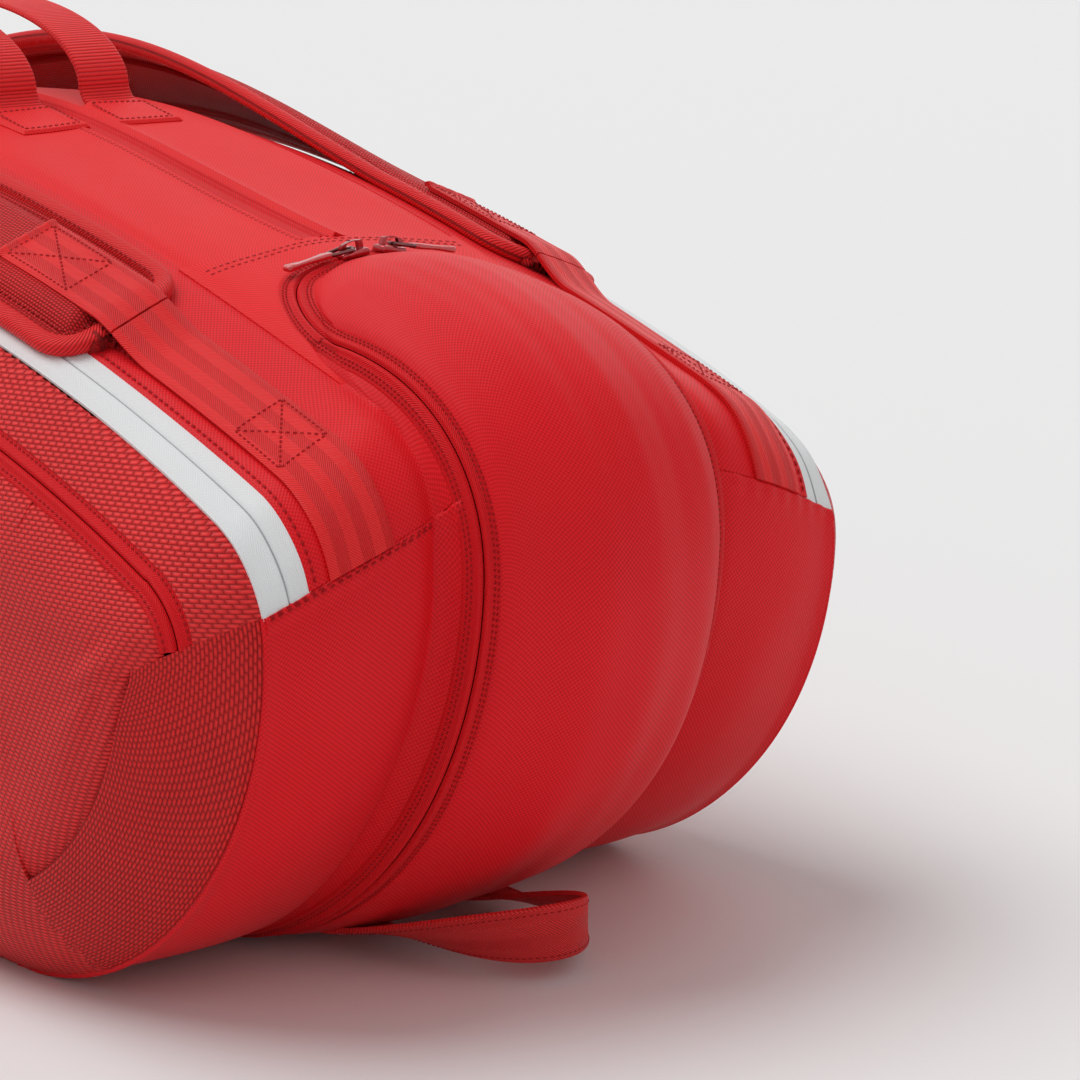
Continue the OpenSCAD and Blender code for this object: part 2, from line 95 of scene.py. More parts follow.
@dataclass(frozen=True)
class BagShape:
    """The surface that every panel lies on, with the sizes that place the bag's parts on it."""

    length: float = 790.0
    width: float = 272.0
    top_h: float = 300.0
    edge_h: float = 262.0
    seam_h: float = 150.0
    centre_w: float = 132.0
    floor_l: float = 410.0
    bulge: float = 27.0
    pocket_d: float = 34.0
    seam_s: float = 1.77
    door_half: float = 57.0
    split_x: float = 266.0
    end_run: float = 150.0

    @cached_property
    def half(self) -> float:
        """Half the bag's length."""
        return self.length / 2

    @cached_property
    def crease_y(self) -> float:
        """Distance of a lobe crease from the middle."""
        return self.centre_w / 2

    @cached_property
    def edge_y(self) -> float:
        """Distance of a side seam from the middle."""
        return self.width / 2

    @cached_property
    def crease_x(self) -> float:
        """Where the creases reach at the near end."""
        return self.half - self.bulge

    @cached_property
    def far_k(self) -> float:
        """Stretch of the far end."""
        return self.half / self.crease_x

    @cached_property
    def outlines(self) -> tuple[Array, Array, Array]:
        """Control points of the edge, crease and centre outlines."""
        h, z, t, e = self.half, self.seam_h, self.top_h, self.edge_h
        x, c, f = h - 35, self.crease_x, self.floor_l / 2
        edge = [[0, e], [0.33 * h, e], [0.66 * h, e - 40], [x - 25, z + 36], [x - 13, z + 29],
                [x, z + 16], [x, z - 5], [x, 0.55 * z], [x - 60, 0], [f, 0]]
        crease = [[0, t - 6], [0.3 * h, t - 6], [0.61 * h, t - 50], [c - 33, z + 69],
                  [c - 13, z + 62], [c + 1, z + 45], [c, z + 18], [c - 1, 0.65 * z],
                  [c - 63, 0], [f, 0]]
        centre = [[0, t], [0.23 * h, t], [0.43 * h, t - 34], [h - 145, t - 44], [h - 85, t - 38],
                  [h - 2, z + 85], [h, z + 10], [h, 0.55 * z], [h - 70, 0], [f, 0]]
        return tuple(np.array(o, float) for o in (edge, crease, centre))

    def on(self, which: int, s: Array) -> Array:
        """Point (x, z) of one outline at s, from 0 at the top to 3 at the floor."""
        o = self.outlines[which]
        k = np.clip(np.floor(s).astype(int), 0, 2)
        t = (s - k)[..., None]
        p = [o[3 * k + i] for i in range(4)]
        return (p[0] * (1 - t) ** 3 + 3 * p[1] * t * (1 - t) ** 2 + 3 * p[2] * t * t * (1 - t)
                + p[3] * t ** 3)

    def ring(self, s: Array, y: Array) -> Array:
        """Point of the skin.

        Args:
            s: 0 at the top's middle to 3 at the floor at the near end, to -3 at the far end.
            y: distance from the middle, in mm.

        Returns:
            Points, in mm, with the shape of s and y and one more axis.
        """
        s, y = np.broadcast_arrays(np.asarray(s, float), np.asarray(y, float))
        a, near, r = np.abs(y), (s >= 0)[..., None], np.abs(s)
        lobe = np.clip((a - self.crease_y) / (self.edge_y - self.crease_y), 0, None)[..., None]
        dome = ((1 - np.clip(a / self.crease_y, 0, 1) ** 2) ** 0.6)[..., None]
        edge, crease, centre = (self.on(i, r) for i in range(3))
        rise = np.stack([0 * r, np.maximum(0, 6 - 6 * r)], -1)
        middle = np.where(near, centre, crease + rise)
        p = np.where((a < self.crease_y)[..., None], crease * (1 - dome) + middle * dome,
                     crease * (1 - lobe) + edge * lobe)
        x = np.where(near[..., 0], p[..., 0], -p[..., 0] * self.far_k)
        return np.stack([x, y, p[..., 1]], -1)

    def s_at(self, x: Array, y: Array) -> Array:
        """s of the top's point at x."""
        x, y = np.broadcast_arrays(np.asarray(x, float), np.asarray(y, float))
        lo, hi = np.full(x.shape, -2.0), np.full(x.shape, 2.0)
        for _ in range(22):
            m = (lo + hi) / 2
            low = self.ring(m, y)[..., 0] < x
            lo, hi = np.where(low, m, lo), np.where(low, hi, m)
        return (lo + hi) / 2

    def top(self, x: Array, y: Array) -> Array:
        """Point of the top at x and y."""
        return self.ring(self.s_at(x, y), y)

    def under(self, x: float, y: float) -> Array:
        """Point under the near end at x and y."""
        lo, hi = 2.0, 3.0
        for _ in range(22):
            m = (lo + hi) / 2
            lo, hi = (m, hi) if self.ring(m, y)[0] > x else (lo, m)
        return self.ring((lo + hi) / 2, y)

    def normal(self, s: Array, y: Array) -> Array:
        """Outward normal of the skin."""
        e = 0.01
        ds = self.ring(s + e, y) - self.ring(s - e, y)
        dy = self.ring(s, y + 0.6) - self.ring(s, y - 0.6)
        return unit(np.cross(ds, dy))

    def skin(self, s: Array, y: Array) -> Array:
        """The skin as the sewn cloth takes it: fuller lobes, deeper creases and soft waves."""
        a = np.abs(y)
        t = np.clip((a - self.crease_y) / (self.edge_y - self.crease_y), 0, 1)
        full = 3.2 * np.sin(math.pi * t) ** 1.3 - 3.0 * bell(a - self.crease_y, 5.0)
        ends = smooth(0.7, 1.3, np.abs(s)) * (1 - smooth(2.6, 3.0, np.abs(s)))
        wave = 0.35 * np.sin(s * 9.0 + y * 0.045) * np.sin(y * 0.09 + s * 3.1)
        lift = (full * (0.35 + 0.65 * ends) + wave) * (1 - smooth(2.6, 3.0, np.abs(s)))
        return self.ring(s, y) + self.normal(s, y) * lift[..., None]

    def door_s(self, y: Array) -> Array:
        """s of the door's top edge."""
        return mix(1.0, 0.86, (y / self.door_half) ** 2)

    def depth_y(self, d: Array) -> Array:
        """How far a side stands out at depth d inside its outline."""
        k = 1 - np.clip(1 - d / 54.0, 0, 1) ** 1.85
        return self.pocket_d * k + 1.8 * smooth(50, 120, d)


SHAPE = BagShape()


# ---------------------------------------------------------------- finishes


class Cloth(Enum):
    """How a cloth or tape is woven."""

    PLAIN = "plain"
    BASKET = "basket"
    CHEVRON = "chevron"
    RIB = "rib"
    STRIPE = "stripe"
    TWILL = "twill"
    MESH = "mesh"
    THREAD = "thread"


class Nodes:
    """Short ways to wire a node tree."""

    def __init__(self, tree: bpy.types.NodeTree) -> None:
        """Keeps the tree."""
        self.tree = tree

    def link(self, a: bpy.types.NodeSocket, b: bpy.types.NodeSocket) -> None:
        """Joins two sockets."""
        self.tree.links.new(a, b)

    def math(self, op: str, a: object, b: object = 0.0, c: object = 0.0) -> bpy.types.NodeSocket:
        """A Math node's result, from numbers or sockets."""
        node = self.tree.nodes.new("ShaderNodeMath")
        node.operation = op
        for i, v in enumerate((a, b, c)):
            if isinstance(v, bpy.types.NodeSocket):
                self.link(v, node.inputs[i])
            else:
                node.inputs[i].default_value = float(v)
        return node.outputs[0]

    def noise(self, vector: bpy.types.NodeSocket, scale: float, detail: float) -> bpy.types.NodeSocket:
        """A Noise Texture's value."""
        node = self.tree.nodes.new("ShaderNodeTexNoise")
        node.inputs["Scale"].default_value = scale
        node.inputs["Detail"].default_value = detail
        self.link(vector, node.inputs["Vector"])
        return node.outputs["Fac"]

    def ramp(self, fac: bpy.types.NodeSocket, low: Sequence[float], high: Sequence[float],
             a: float = 0.0, b: float = 1.0) -> bpy.types.NodeSocket:
        """A colour ramp between two colours."""
        node = self.tree.nodes.new("ShaderNodeValToRGB")
        node.color_ramp.elements[0].position, node.color_ramp.elements[1].position = a, b
        node.color_ramp.elements[0].color = (*low, 1)
        node.color_ramp.elements[1].color = (*high, 1)
        self.link(fac, node.inputs[0])
        return node.outputs[0]

    def bump(self, height: bpy.types.NodeSocket, distance: float,
             under: object = None) -> bpy.types.NodeSocket:
        """A Bump node's normal, with an optional normal under it."""
        node = self.tree.nodes.new("ShaderNodeBump")
        node.inputs["Strength"].default_value = 1.0
        node.inputs["Distance"].default_value = distance
        self.link(height, node.inputs["Height"])
        if under is not None:
            self.link(under, node.inputs["Normal"])
        return node.outputs[0]


@dataclass(frozen=True)
class ClothFinish:
    """A woven finish that follows a piece's cloth map, in metres along and across."""

    name: str
    slot: str
    weave: Cloth
    low: tuple[float, float, float]
    high: tuple[float, float, float]
    pitch: float = 0.9
    depth: float = 0.12
    roughness: float = 0.6
    sheen: float = 0.25
    band: float = 3.5

    def height(self, n: Nodes, u: bpy.types.NodeSocket, v: bpy.types.NodeSocket) -> bpy.types.NodeSocket:
        """Height of the weave from 0 to 1.

        Args:
            n: wiring helper.
            u: distance along the piece, in metres.
            v: distance across it.

        Returns:
            The socket that carries the height.
        """
        k = math.pi / (self.pitch * MM)

        def lobe(x: bpy.types.NodeSocket) -> bpy.types.NodeSocket:
            return n.math("ABSOLUTE", n.math("SINE", x))

        def slant(y: bpy.types.NodeSocket, ratio: float) -> bpy.types.NodeSocket:
            return n.math("ADD", n.math("MULTIPLY", u, k), n.math("MULTIPLY", y, k * ratio))

        if self.weave in (Cloth.BASKET, Cloth.MESH):
            long = 2.1 if self.weave is Cloth.BASKET else 1.25
            row = n.math("FLOOR", n.math("DIVIDE", v, self.pitch * MM))
            odd = n.math("MULTIPLY", row, 0.5)
            skew = n.math("MULTIPLY", v, k * 0.22)
            x = n.math("ADD", n.math("MULTIPLY", u, k / long), n.math("MULTIPLY", odd, math.pi))
            x = n.math("ADD", x, skew)
            a = n.math("POWER", lobe(x), 0.55)
            b = n.math("POWER", lobe(n.math("MULTIPLY", v, k)), 0.6)
            return n.math("MULTIPLY", a, b)
        if self.weave is Cloth.CHEVRON:
            w = n.math("PINGPONG", v, self.band * MM)
            return n.math("POWER", lobe(slant(w, 1.3)), 0.8)
        if self.weave is Cloth.RIB:
            fine = lobe(n.math("MULTIPLY", v, k * 1.9))
            rib = n.math("POWER", lobe(n.math("MULTIPLY", u, k)), 0.7)
            return n.math("MULTIPLY_ADD", fine, 0.15, n.math("MULTIPLY", rib, 0.85))
        if self.weave is Cloth.TWILL:
            return n.math("POWER", lobe(slant(v, 0.9)), 0.7)
        if self.weave is Cloth.STRIPE:
            w = n.math("PINGPONG", v, self.band * MM)
            half = self.band * MM / 2
            other = n.math("PINGPONG", n.math("ADD", v, half), self.band * MM)
            step = n.math("GREATER_THAN", other, half)
            return n.math("MULTIPLY_ADD", step, 0.35, n.math("MULTIPLY", lobe(slant(w, 1.1)), 0.65))
        if self.weave is Cloth.THREAD:
            return lobe(slant(v, 1.0))
        a = n.math("SINE", n.math("MULTIPLY", u, k))
        b = n.math("SINE", n.math("MULTIPLY", v, k))
        return n.math("MULTIPLY_ADD", n.math("MULTIPLY", a, b), 0.5, 0.5)

    def make(self) -> bpy.types.Material:
        """The material, made once."""
        label = f"finish_{self.name}"
        found = bpy.data.materials.get(label)
        if found:
            return found
        m = bpy.data.materials.new(label)
        m.use_nodes = True
        n = Nodes(m.node_tree)
        shader = m.node_tree.nodes["Principled BSDF"]
        uv = m.node_tree.nodes.new("ShaderNodeUVMap")
        uv.uv_map = "cloth"
        xyz = m.node_tree.nodes.new("ShaderNodeSeparateXYZ")
        n.link(uv.outputs[0], xyz.inputs[0])
        place = m.node_tree.nodes.new("ShaderNodeTexCoord").outputs["Object"]
        h = self.height(n, xyz.outputs[0], xyz.outputs[1])
        fuzz = n.noise(place, 2600.0, 2.0)
        cloud = n.noise(place, 22.0, 3.0)
        tone = n.math("ADD", n.math("MULTIPLY", h, 0.62), n.math("MULTIPLY", fuzz, 0.28))
        tone = n.math("MULTIPLY_ADD", cloud, 0.2, tone)
        n.link(n.ramp(tone, self.low, self.high, 0.12, 1.0), shader.inputs["Base Color"])
        rough = n.math("MULTIPLY_ADD", fuzz, 0.12, self.roughness - 0.06)
        n.link(rough, shader.inputs["Roughness"])
        wide = n.bump(cloud, 0.0006)
        n.link(n.bump(h, self.depth * MM, wide), shader.inputs["Normal"])
        shader.inputs["Specular IOR Level"].default_value = 0.16
        shader.inputs["Sheen Weight"].default_value = self.sheen
        shader.inputs["Sheen Roughness"].default_value = 0.45
        red = self.low[1] < 0.2
        shader.inputs["Sheen Tint"].default_value = (1.0, 0.62, 0.6, 1.0) if red else (1, 1, 1, 1)
        return m


@dataclass(frozen=True)
class HardFinish:
    """A moulded or enamelled finish."""

    name: str
    slot: str
    color: tuple[float, float, float]
    metallic: float = 0.0
    roughness: float = 0.25
    coat: float = 0.5

    def make(self) -> bpy.types.Material:
        """The material, made once."""
        label = f"finish_{self.name}"
        found = bpy.data.materials.get(label)
        if found:
            return found
        m = bpy.data.materials.new(label)
        m.use_nodes = True
        n = Nodes(m.node_tree)
        shader = m.node_tree.nodes["Principled BSDF"]
        place = m.node_tree.nodes.new("ShaderNodeTexCoord").outputs["Object"]
        worn = n.noise(place, 900.0, 4.0)
        dark = tuple(0.7 * c for c in self.color)
        n.link(n.ramp(worn, dark, self.color, 0.25, 0.6), shader.inputs["Base Color"])
        n.link(n.math("MULTIPLY_ADD", worn, 0.18, self.roughness - 0.09), shader.inputs["Roughness"])
        n.link(n.bump(n.noise(place, 1500.0, 2.0), 0.00004), shader.inputs["Normal"])
        shader.inputs["Metallic"].default_value = self.metallic
        shader.inputs["Coat Weight"].default_value = self.coat
        shader.inputs["Coat Roughness"].default_value = 0.12
        return m


RED_LOW, RED_HIGH = (0.52, 0.0015, 0.006), (0.93, 0.014, 0.022)
NYLON = ClothFinish("red_nylon", "red_nylon", Cloth.PLAIN, RED_LOW, RED_HIGH, 0.95, 0.10, 0.5, 0.03)
FLAP_CLOTH = ClothFinish("red_nylon_flap", "red_nylon", Cloth.PLAIN, (0.6, 0.003, 0.008),
                         (0.98, 0.022, 0.024), 0.8, 0.06, 0.55, 0.03)
BASKET = ClothFinish("basket_weave", "basket_weave", Cloth.BASKET, (0.26, 0.0006, 0.002),
                     (1.0, 0.045, 0.045), 1.55, 0.6, 0.45, 0.02)
# The gusset's basket weave is the same cloth as the basket weave in darker colours: painted shade on the
# folded gusset panels.
SHADED_GUSSET = ClothFinish("basket_gusset", "basket_weave", Cloth.BASKET, (0.2, 0.0005, 0.002),
                     (0.92, 0.03, 0.03), 1.55, 0.6, 0.45, 0.02)
ZIP_TAPE = ClothFinish("red_zip_tape", "red_zip_tape", Cloth.CHEVRON, (0.44, 0.001, 0.004),
                       (0.86, 0.01, 0.016), 1.2, 0.18, 0.55, 0.02)
WEBBING = ClothFinish("strap_webbing", "webbing", Cloth.STRIPE, (0.46, 0.002, 0.006), (1.0, 0.035, 0.035),
                      1.1, 0.25, 0.45, 0.03, 5.0)
HANDLE_WEB = ClothFinish("ribbed_webbing", "webbing", Cloth.RIB, (0.42, 0.0015, 0.005), (1.0, 0.03, 0.032),
                         1.7, 0.5, 0.5, 0.03)
LOOP_WEB = ClothFinish("loop_webbing", "webbing", Cloth.CHEVRON, (0.42, 0.002, 0.006), (0.95, 0.05, 0.05),
                       1.5, 0.35, 0.5, 0.03, 6.25)
BINDING = ClothFinish("twill_binding", "webbing", Cloth.TWILL, (0.4, 0.0015, 0.005), (0.96, 0.028, 0.03),
                      1.5, 0.35, 0.5, 0.03)
PAD_MESH = ClothFinish("pad_mesh", "pad_mesh", Cloth.MESH, (0.2, 0.0006, 0.002), (0.95, 0.032, 0.035), 1.35,
                       0.6, 0.55, 0.02)
WHITE_TAPE = ClothFinish("white_zip_tape", "white_zip_tape", Cloth.CHEVRON, (0.7, 0.71, 0.72),
                         (0.87, 0.875, 0.88), 1.1, 0.08, 0.42, 0.05)
THREAD = ClothFinish("sewing_thread", "red_nylon", Cloth.THREAD, (0.24, 0.001, 0.003), (0.56, 0.006, 0.01),
                     0.5, 0.1, 0.5, 0.03)
GREY_THREAD = ClothFinish("grey_coil", "white_zip_tape", Cloth.THREAD, (0.25, 0.25, 0.27), (0.5, 0.5, 0.52),
                          0.8, 0.1, 0.5, 0.0)
LINING = ClothFinish("lining", "lining", Cloth.PLAIN, (0.16, 0.001, 0.003), (0.34, 0.005, 0.009), 1.2, 0.08,
                     0.5, 0.03)
ENAMEL = HardFinish("red_enamel", "slider_metal", (0.42, 0.012, 0.02), 0.75, 0.22, 0.8)
WIRE = HardFinish("dark_wire", "slider_metal", (0.18, 0.06, 0.06), 1.0, 0.25, 0.3)
MOULDED = HardFinish("moulded_red", "moulded_pull", (0.7, 0.01, 0.016), 0.0, 0.18, 1.0)
BOARD = HardFinish("stiffener_board", "board", (0.03, 0.03, 0.03), 0.0, 0.7, 0.0)
Finish = ClothFinish | HardFinish
Thickness = float | Callable[[Array, Array], Array]


# ---------------------------------------------------------------- making meshes


@dataclass(frozen=True)
class Hold:
    """What a piece rides on: a body, or two bodies that it lies between, where it is left on no body."""

    body: str
    other: Optional[str] = None
    start: tuple[float, float, float] = (0, 0, 0)
    end: tuple[float, float, float] = (0, 0, 0)


@dataclass
class Maker:
    """Turns arrays into finished, dressed and riding objects."""

    made: list[str] = field(default_factory=list)

    def mesh(self, name: str, points: Array, faces: Array, uv: Array, normals: Optional[Array],
             finish: Finish, hold: Hold, stands_for: Sequence[str] = (), slot: str = "") -> bpy.types.Object:
        """Makes one piece.

        Args:
            name: piece name.
            points: n x 3, in mm.
            faces: m x 4 vertex numbers, the last one -1 on a triangle.
            uv: n x 2 cloth map, in mm.
            normals: normals of the face corners, or None for flat-angle smoothing.
            finish: what it is made of.
            hold: what it rides on.
            stands_for: construction nodes that it hides.
            slot: the record's material slot, where it isn't the finish's own; not used.

        Returns:
            The object.
        """
        points[:, 2] = np.maximum(points[:, 2], FLOOR_GAP)
        faces = np.asarray(faces, int)
        four = faces[:, 3] >= 0
        counts = np.where(four, 4, 3)
        corners = faces.reshape(-1)[(faces >= 0).reshape(-1)]
        data = bpy.data.meshes.new(name)
        data.vertices.add(len(points))
        data.vertices.foreach_set("co", (points * MM).astype(np.float32).ravel())
        data.loops.add(len(corners))
        data.loops.foreach_set("vertex_index", corners.astype(np.int32))
        data.polygons.add(len(faces))
        starts = np.concatenate([[0], np.cumsum(counts)[:-1]])
        data.polygons.foreach_set("loop_start", starts.astype(np.int32))
        data.update(calc_edges=True)
        layer = data.uv_layers.new(name="cloth")
        layer.data.foreach_set("uv", (uv[corners] * MM).astype(np.float32).ravel())
        data.validate()
        data.polygons.foreach_set("use_smooth", np.ones(len(faces), bool))
        if normals is not None:
            data.normals_split_custom_set(normals.astype(np.float32))
        o = bpy.data.objects.new(name, data)
        bpy.context.scene.collection.objects.link(o)
        data.materials.append(finish.make())
        if normals is None:
            self.pick(o)
            bpy.ops.object.shade_smooth_by_angle(angle=math.radians(50))
        return self.settle(o, hold, stands_for)

    def pick(self, o: bpy.types.Object) -> None:
        """Selects one object alone."""
        bpy.ops.object.select_all(action="DESELECT")
        o.select_set(True)
        bpy.context.view_layer.objects.active = o

    def settle(self, o: bpy.types.Object, hold: Hold,
               stands_for: Sequence[str] = ()) -> bpy.types.Object:
        """Puts a piece on its body, or bakes its transform where it lies between two bodies, and hides the
        nodes that it stands for.
        """
        if hold.other:
            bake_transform(o)
        else:
            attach(o, hold.body)
        if stands_for:
            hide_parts(*stands_for)
        self.made.append(o.name)
        LOG.info("made %s on %s", o.name, hold.body)
        return o

    def shell(self, name: str, surface: Field, nu: int, nv: int, finish: Finish, hold: Hold,
              height: Optional[Field] = None, thick: Thickness = 1.2, stands_for: Sequence[str] = (),
              turned: bool = False, uv_turn: bool = False, planar: bool = False) -> bpy.types.Object:
        """A closed sheet of cloth on a surface.

        Args:
            name: piece name.
            surface: point in mm at (u, v), each from 0 to 1.
            nu: cells along u.
            nv: cells along v.
            finish: what it is made of.
            hold: what it rides on.
            height: how far the cloth stands off the surface at (u, v), in mm.
            thick: the cloth's thickness, or its thickness at (u, v).
            stands_for: construction nodes that it hides.
            turned: True where u and v run the other way round.
            uv_turn: lays the weave across instead of along.
            planar: takes the weave from x and z, for a side.

        Returns:
            The object.
        """
        u = (np.arange(-1, nu + 2) / nu)[:, None] + np.zeros((1, nv + 3))
        v = (np.arange(-1, nv + 2) / nv)[None, :] + np.zeros((nu + 3, 1))
        p = surface(u, v)
        n = self.normals(p)
        if turned:
            n = -n
        if height is not None:
            p = p + n * height(np.clip(u, 0, 1), np.clip(v, 0, 1))[..., None]
            n = self.normals(p) * (-1 if turned else 1)
        p, n = p[1:-1, 1:-1], n[1:-1, 1:-1]
        run = np.zeros(p.shape[:2] + (2,))
        mid_v = nv // 2
        run[..., 0] = runs(p[:, mid_v])[:, None]
        across = np.linalg.norm(np.diff(p, axis=1), axis=-1)
        run[:, 1:, 1] = np.cumsum(across, axis=1)
        run[..., 1] -= run[:, mid_v:mid_v + 1, 1]
        if uv_turn:
            run = run[..., ::-1]
        if planar:
            run = p[..., [0, 2]].copy()
        if callable(thick):
            thick = np.broadcast_to(thick(u, v), u.shape)[1:-1, 1:-1, None]
        return self.close(name, p, n, thick, run, finish, hold, stands_for, turned)

    @staticmethod
    def normals(p: Array) -> Array:
        """Normals of a grid of points."""
        du = np.gradient(p, axis=0)
        dv = np.gradient(p, axis=1)
        return unit(np.cross(du, dv))

    def close(self, name: str, p: Array, n: Array, thick: Thickness, run: Array, finish: Finish, hold: Hold,
              stands_for: Sequence[str], turned: bool) -> bpy.types.Object:
        """Gives a grid its back and rim, and makes the piece."""
        a, b = p.shape[:2]
        i = np.arange(a * b).reshape(a, b)
        front = np.stack([i[:-1, :-1], i[1:, :-1], i[1:, 1:], i[:-1, 1:]], -1).reshape(-1, 4)
        rim = np.concatenate([i[0, :-1], i[:-1, -1], i[-1, :0:-1], i[:0:-1, 0]])
        nxt = np.roll(rim, -1)
        size = a * b
        wall = np.stack([rim, nxt, nxt + size, rim + size], -1)
        back = front[:, ::-1] + size
        if turned:
            front, back, wall = front[:, ::-1], back[:, ::-1], wall[:, ::-1]
        points = np.concatenate([p.reshape(-1, 3), (p - n * thick).reshape(-1, 3)])
        flat = n.reshape(-1, 3)
        q = points[wall]
        side = unit(np.cross(q[:, 2] - q[:, 0], q[:, 3] - q[:, 1]))
        corner = np.concatenate([flat[front].reshape(-1, 3), -flat[back - size].reshape(-1, 3),
                                 np.repeat(side, 4, axis=0)])
        faces = np.concatenate([front, back, wall])
        uv = np.concatenate([run.reshape(-1, 2)] * 2)
        return self.mesh(name, points, faces, uv, corner, finish, hold, stands_for)

    def sweep(self, name: str, path: Array, up: Array, profile: Array, finish: Finish, hold: Hold,
              stands_for: Sequence[str] = (), closed_path: bool = False) -> bpy.types.Object:
        """A closed profile swept along a path.

        Args:
            name: piece name.
            path: points in mm.
            up: direction of the profile's second axis at each point.
            profile: k x 2, across and up, in mm, anticlockwise seen against the path.
            finish: what it is made of.
            hold: what it rides on.
            stands_for: construction nodes that it hides.
            closed_path: True where the path returns to its start.

        Returns:
            The object.
        """
        if closed_path:
            t = unit(np.roll(path, -1, 0) - np.roll(path, 1, 0))
        else:
            t = unit(np.gradient(path, axis=0))
        side = unit(np.cross(up, t))
        top = unit(np.cross(t, side))
        k, n = len(profile), len(path)
        pts = path[:, None] + side[:, None] * profile[None, :, :1] + top[:, None] * profile[None, :, 1:]
        i = np.arange(n * k).reshape(n, k)
        a, b = (i, np.roll(i, -1, 0)) if closed_path else (i[:-1], i[1:])
        quads = np.stack([a, b, np.roll(b, -1, 1), np.roll(a, -1, 1)], -1).reshape(-1, 4)
        quads = quads[:, ::-1]
        length, girth = runs(path), runs(profile)
        uv = np.stack(np.broadcast_arrays(length[:, None], girth[None, :] - girth.mean()), -1).reshape(-1, 2)
        points = pts.reshape(-1, 3)
        if not closed_path:
            ends = np.stack([pts[0].mean(0), pts[-1].mean(0)])
            points = np.concatenate([points, ends])
            uv = np.concatenate([uv, uv[[0, -1]]])
            caps = [[n * k, i[0, j], i[0, (j + 1) % k], -1] for j in range(k)]
            caps += [[n * k + 1, i[-1, (j + 1) % k], i[-1, j], -1] for j in range(k)]
            quads = np.concatenate([quads, np.array(caps)])
        quads = self.outward(points, quads)
        return self.mesh(name, points, quads, uv, None, finish, hold, stands_for)

    @staticmethod
    def outward(points: Array, faces: Array) -> Array:
        """The faces turned so that a closed mesh has its outside out."""
        c = points - points.mean(0)
        a, b, d = c[faces[:, 0]], c[faces[:, 1]], c[faces[:, 2]]
        volume = np.einsum("ij,ij->i", a, np.cross(b, d)).sum()
        e = c[np.where(faces[:, 3] < 0, faces[:, 0], faces[:, 3])]
        volume += np.einsum("ij,ij->i", a, np.cross(d, e)).sum()
        if volume >= 0:
            return faces
        turned = faces.copy()
        three = faces[:, 3] < 0
        turned[~three] = faces[~three][:, ::-1]
        turned[three, :3] = faces[three][:, 2::-1]
        return turned

    def stitches(self, name: str, paths: Sequence[tuple[Array, Array]], hold: Hold, slot: str,
                 pitch: float = 3.3, length: float = 2.5, girth: float = 0.42) -> bpy.types.Object:
        """Rows of stitches as one piece.

        Args:
            name: piece name.
            paths: for each row, its points in mm and the cloth's normals there.
            hold: what they ride on.
            slot: the record's material slot.
            pitch: from stitch to stitch.
            length: of one stitch.
            girth: radius of the thread.

        Returns:
            The object.
        """
        ring = np.array([[1, 0], [0, 0.75], [-1, 0], [0, -0.75]]) * girth
        pts, faces, uvs = [], [], []
        for path, up in paths:
            run = runs(path)
            count = max(1, int(run[-1] // pitch))
            mid = (np.arange(count) + 0.5) * run[-1] / count
            at = np.stack([np.interp(mid, run, path[:, i]) for i in range(3)], -1)
            tan = unit(np.stack([np.interp(mid + 0.5, run, path[:, i]) - np.interp(mid - 0.5, run, path[:, i])
                                 for i in range(3)], -1))
            nor = unit(np.stack([np.interp(mid, run, up[:, i]) for i in range(3)], -1))
            side = unit(np.cross(nor, tan))
            for c, t, m, w in zip(at, tan, nor, side):
                base = len(pts) * 10
                rows = [c - t * length / 2 - m * girth * 0.7]
                for end in (-1, 1):
                    for r in ring:
                        rows.append(c + t * end * length * 0.28 + w * r[0] + m * (r[1] + girth * 0.35))
                rows.append(c + t * length / 2 - m * girth * 0.7)
                pts.append(rows)
                uvs.append([[j * 0.3, 0] for j in range(10)])
                for j in range(4):
                    k = (j + 1) % 4
                    faces.append([base, base + 1 + k, base + 1 + j, -1])
                    faces.append([base + 1 + j, base + 1 + k, base + 5 + k, base + 5 + j])
                    faces.append([base + 9, base + 5 + j, base + 5 + k, -1])
        p = np.array(pts).reshape(-1, 3)
        f = self.outward(p, np.array(faces))
        return self.mesh(name, p, f, np.array(uvs, float).reshape(-1, 2), None, THREAD, hold, slot=slot)


MAKE = Maker()


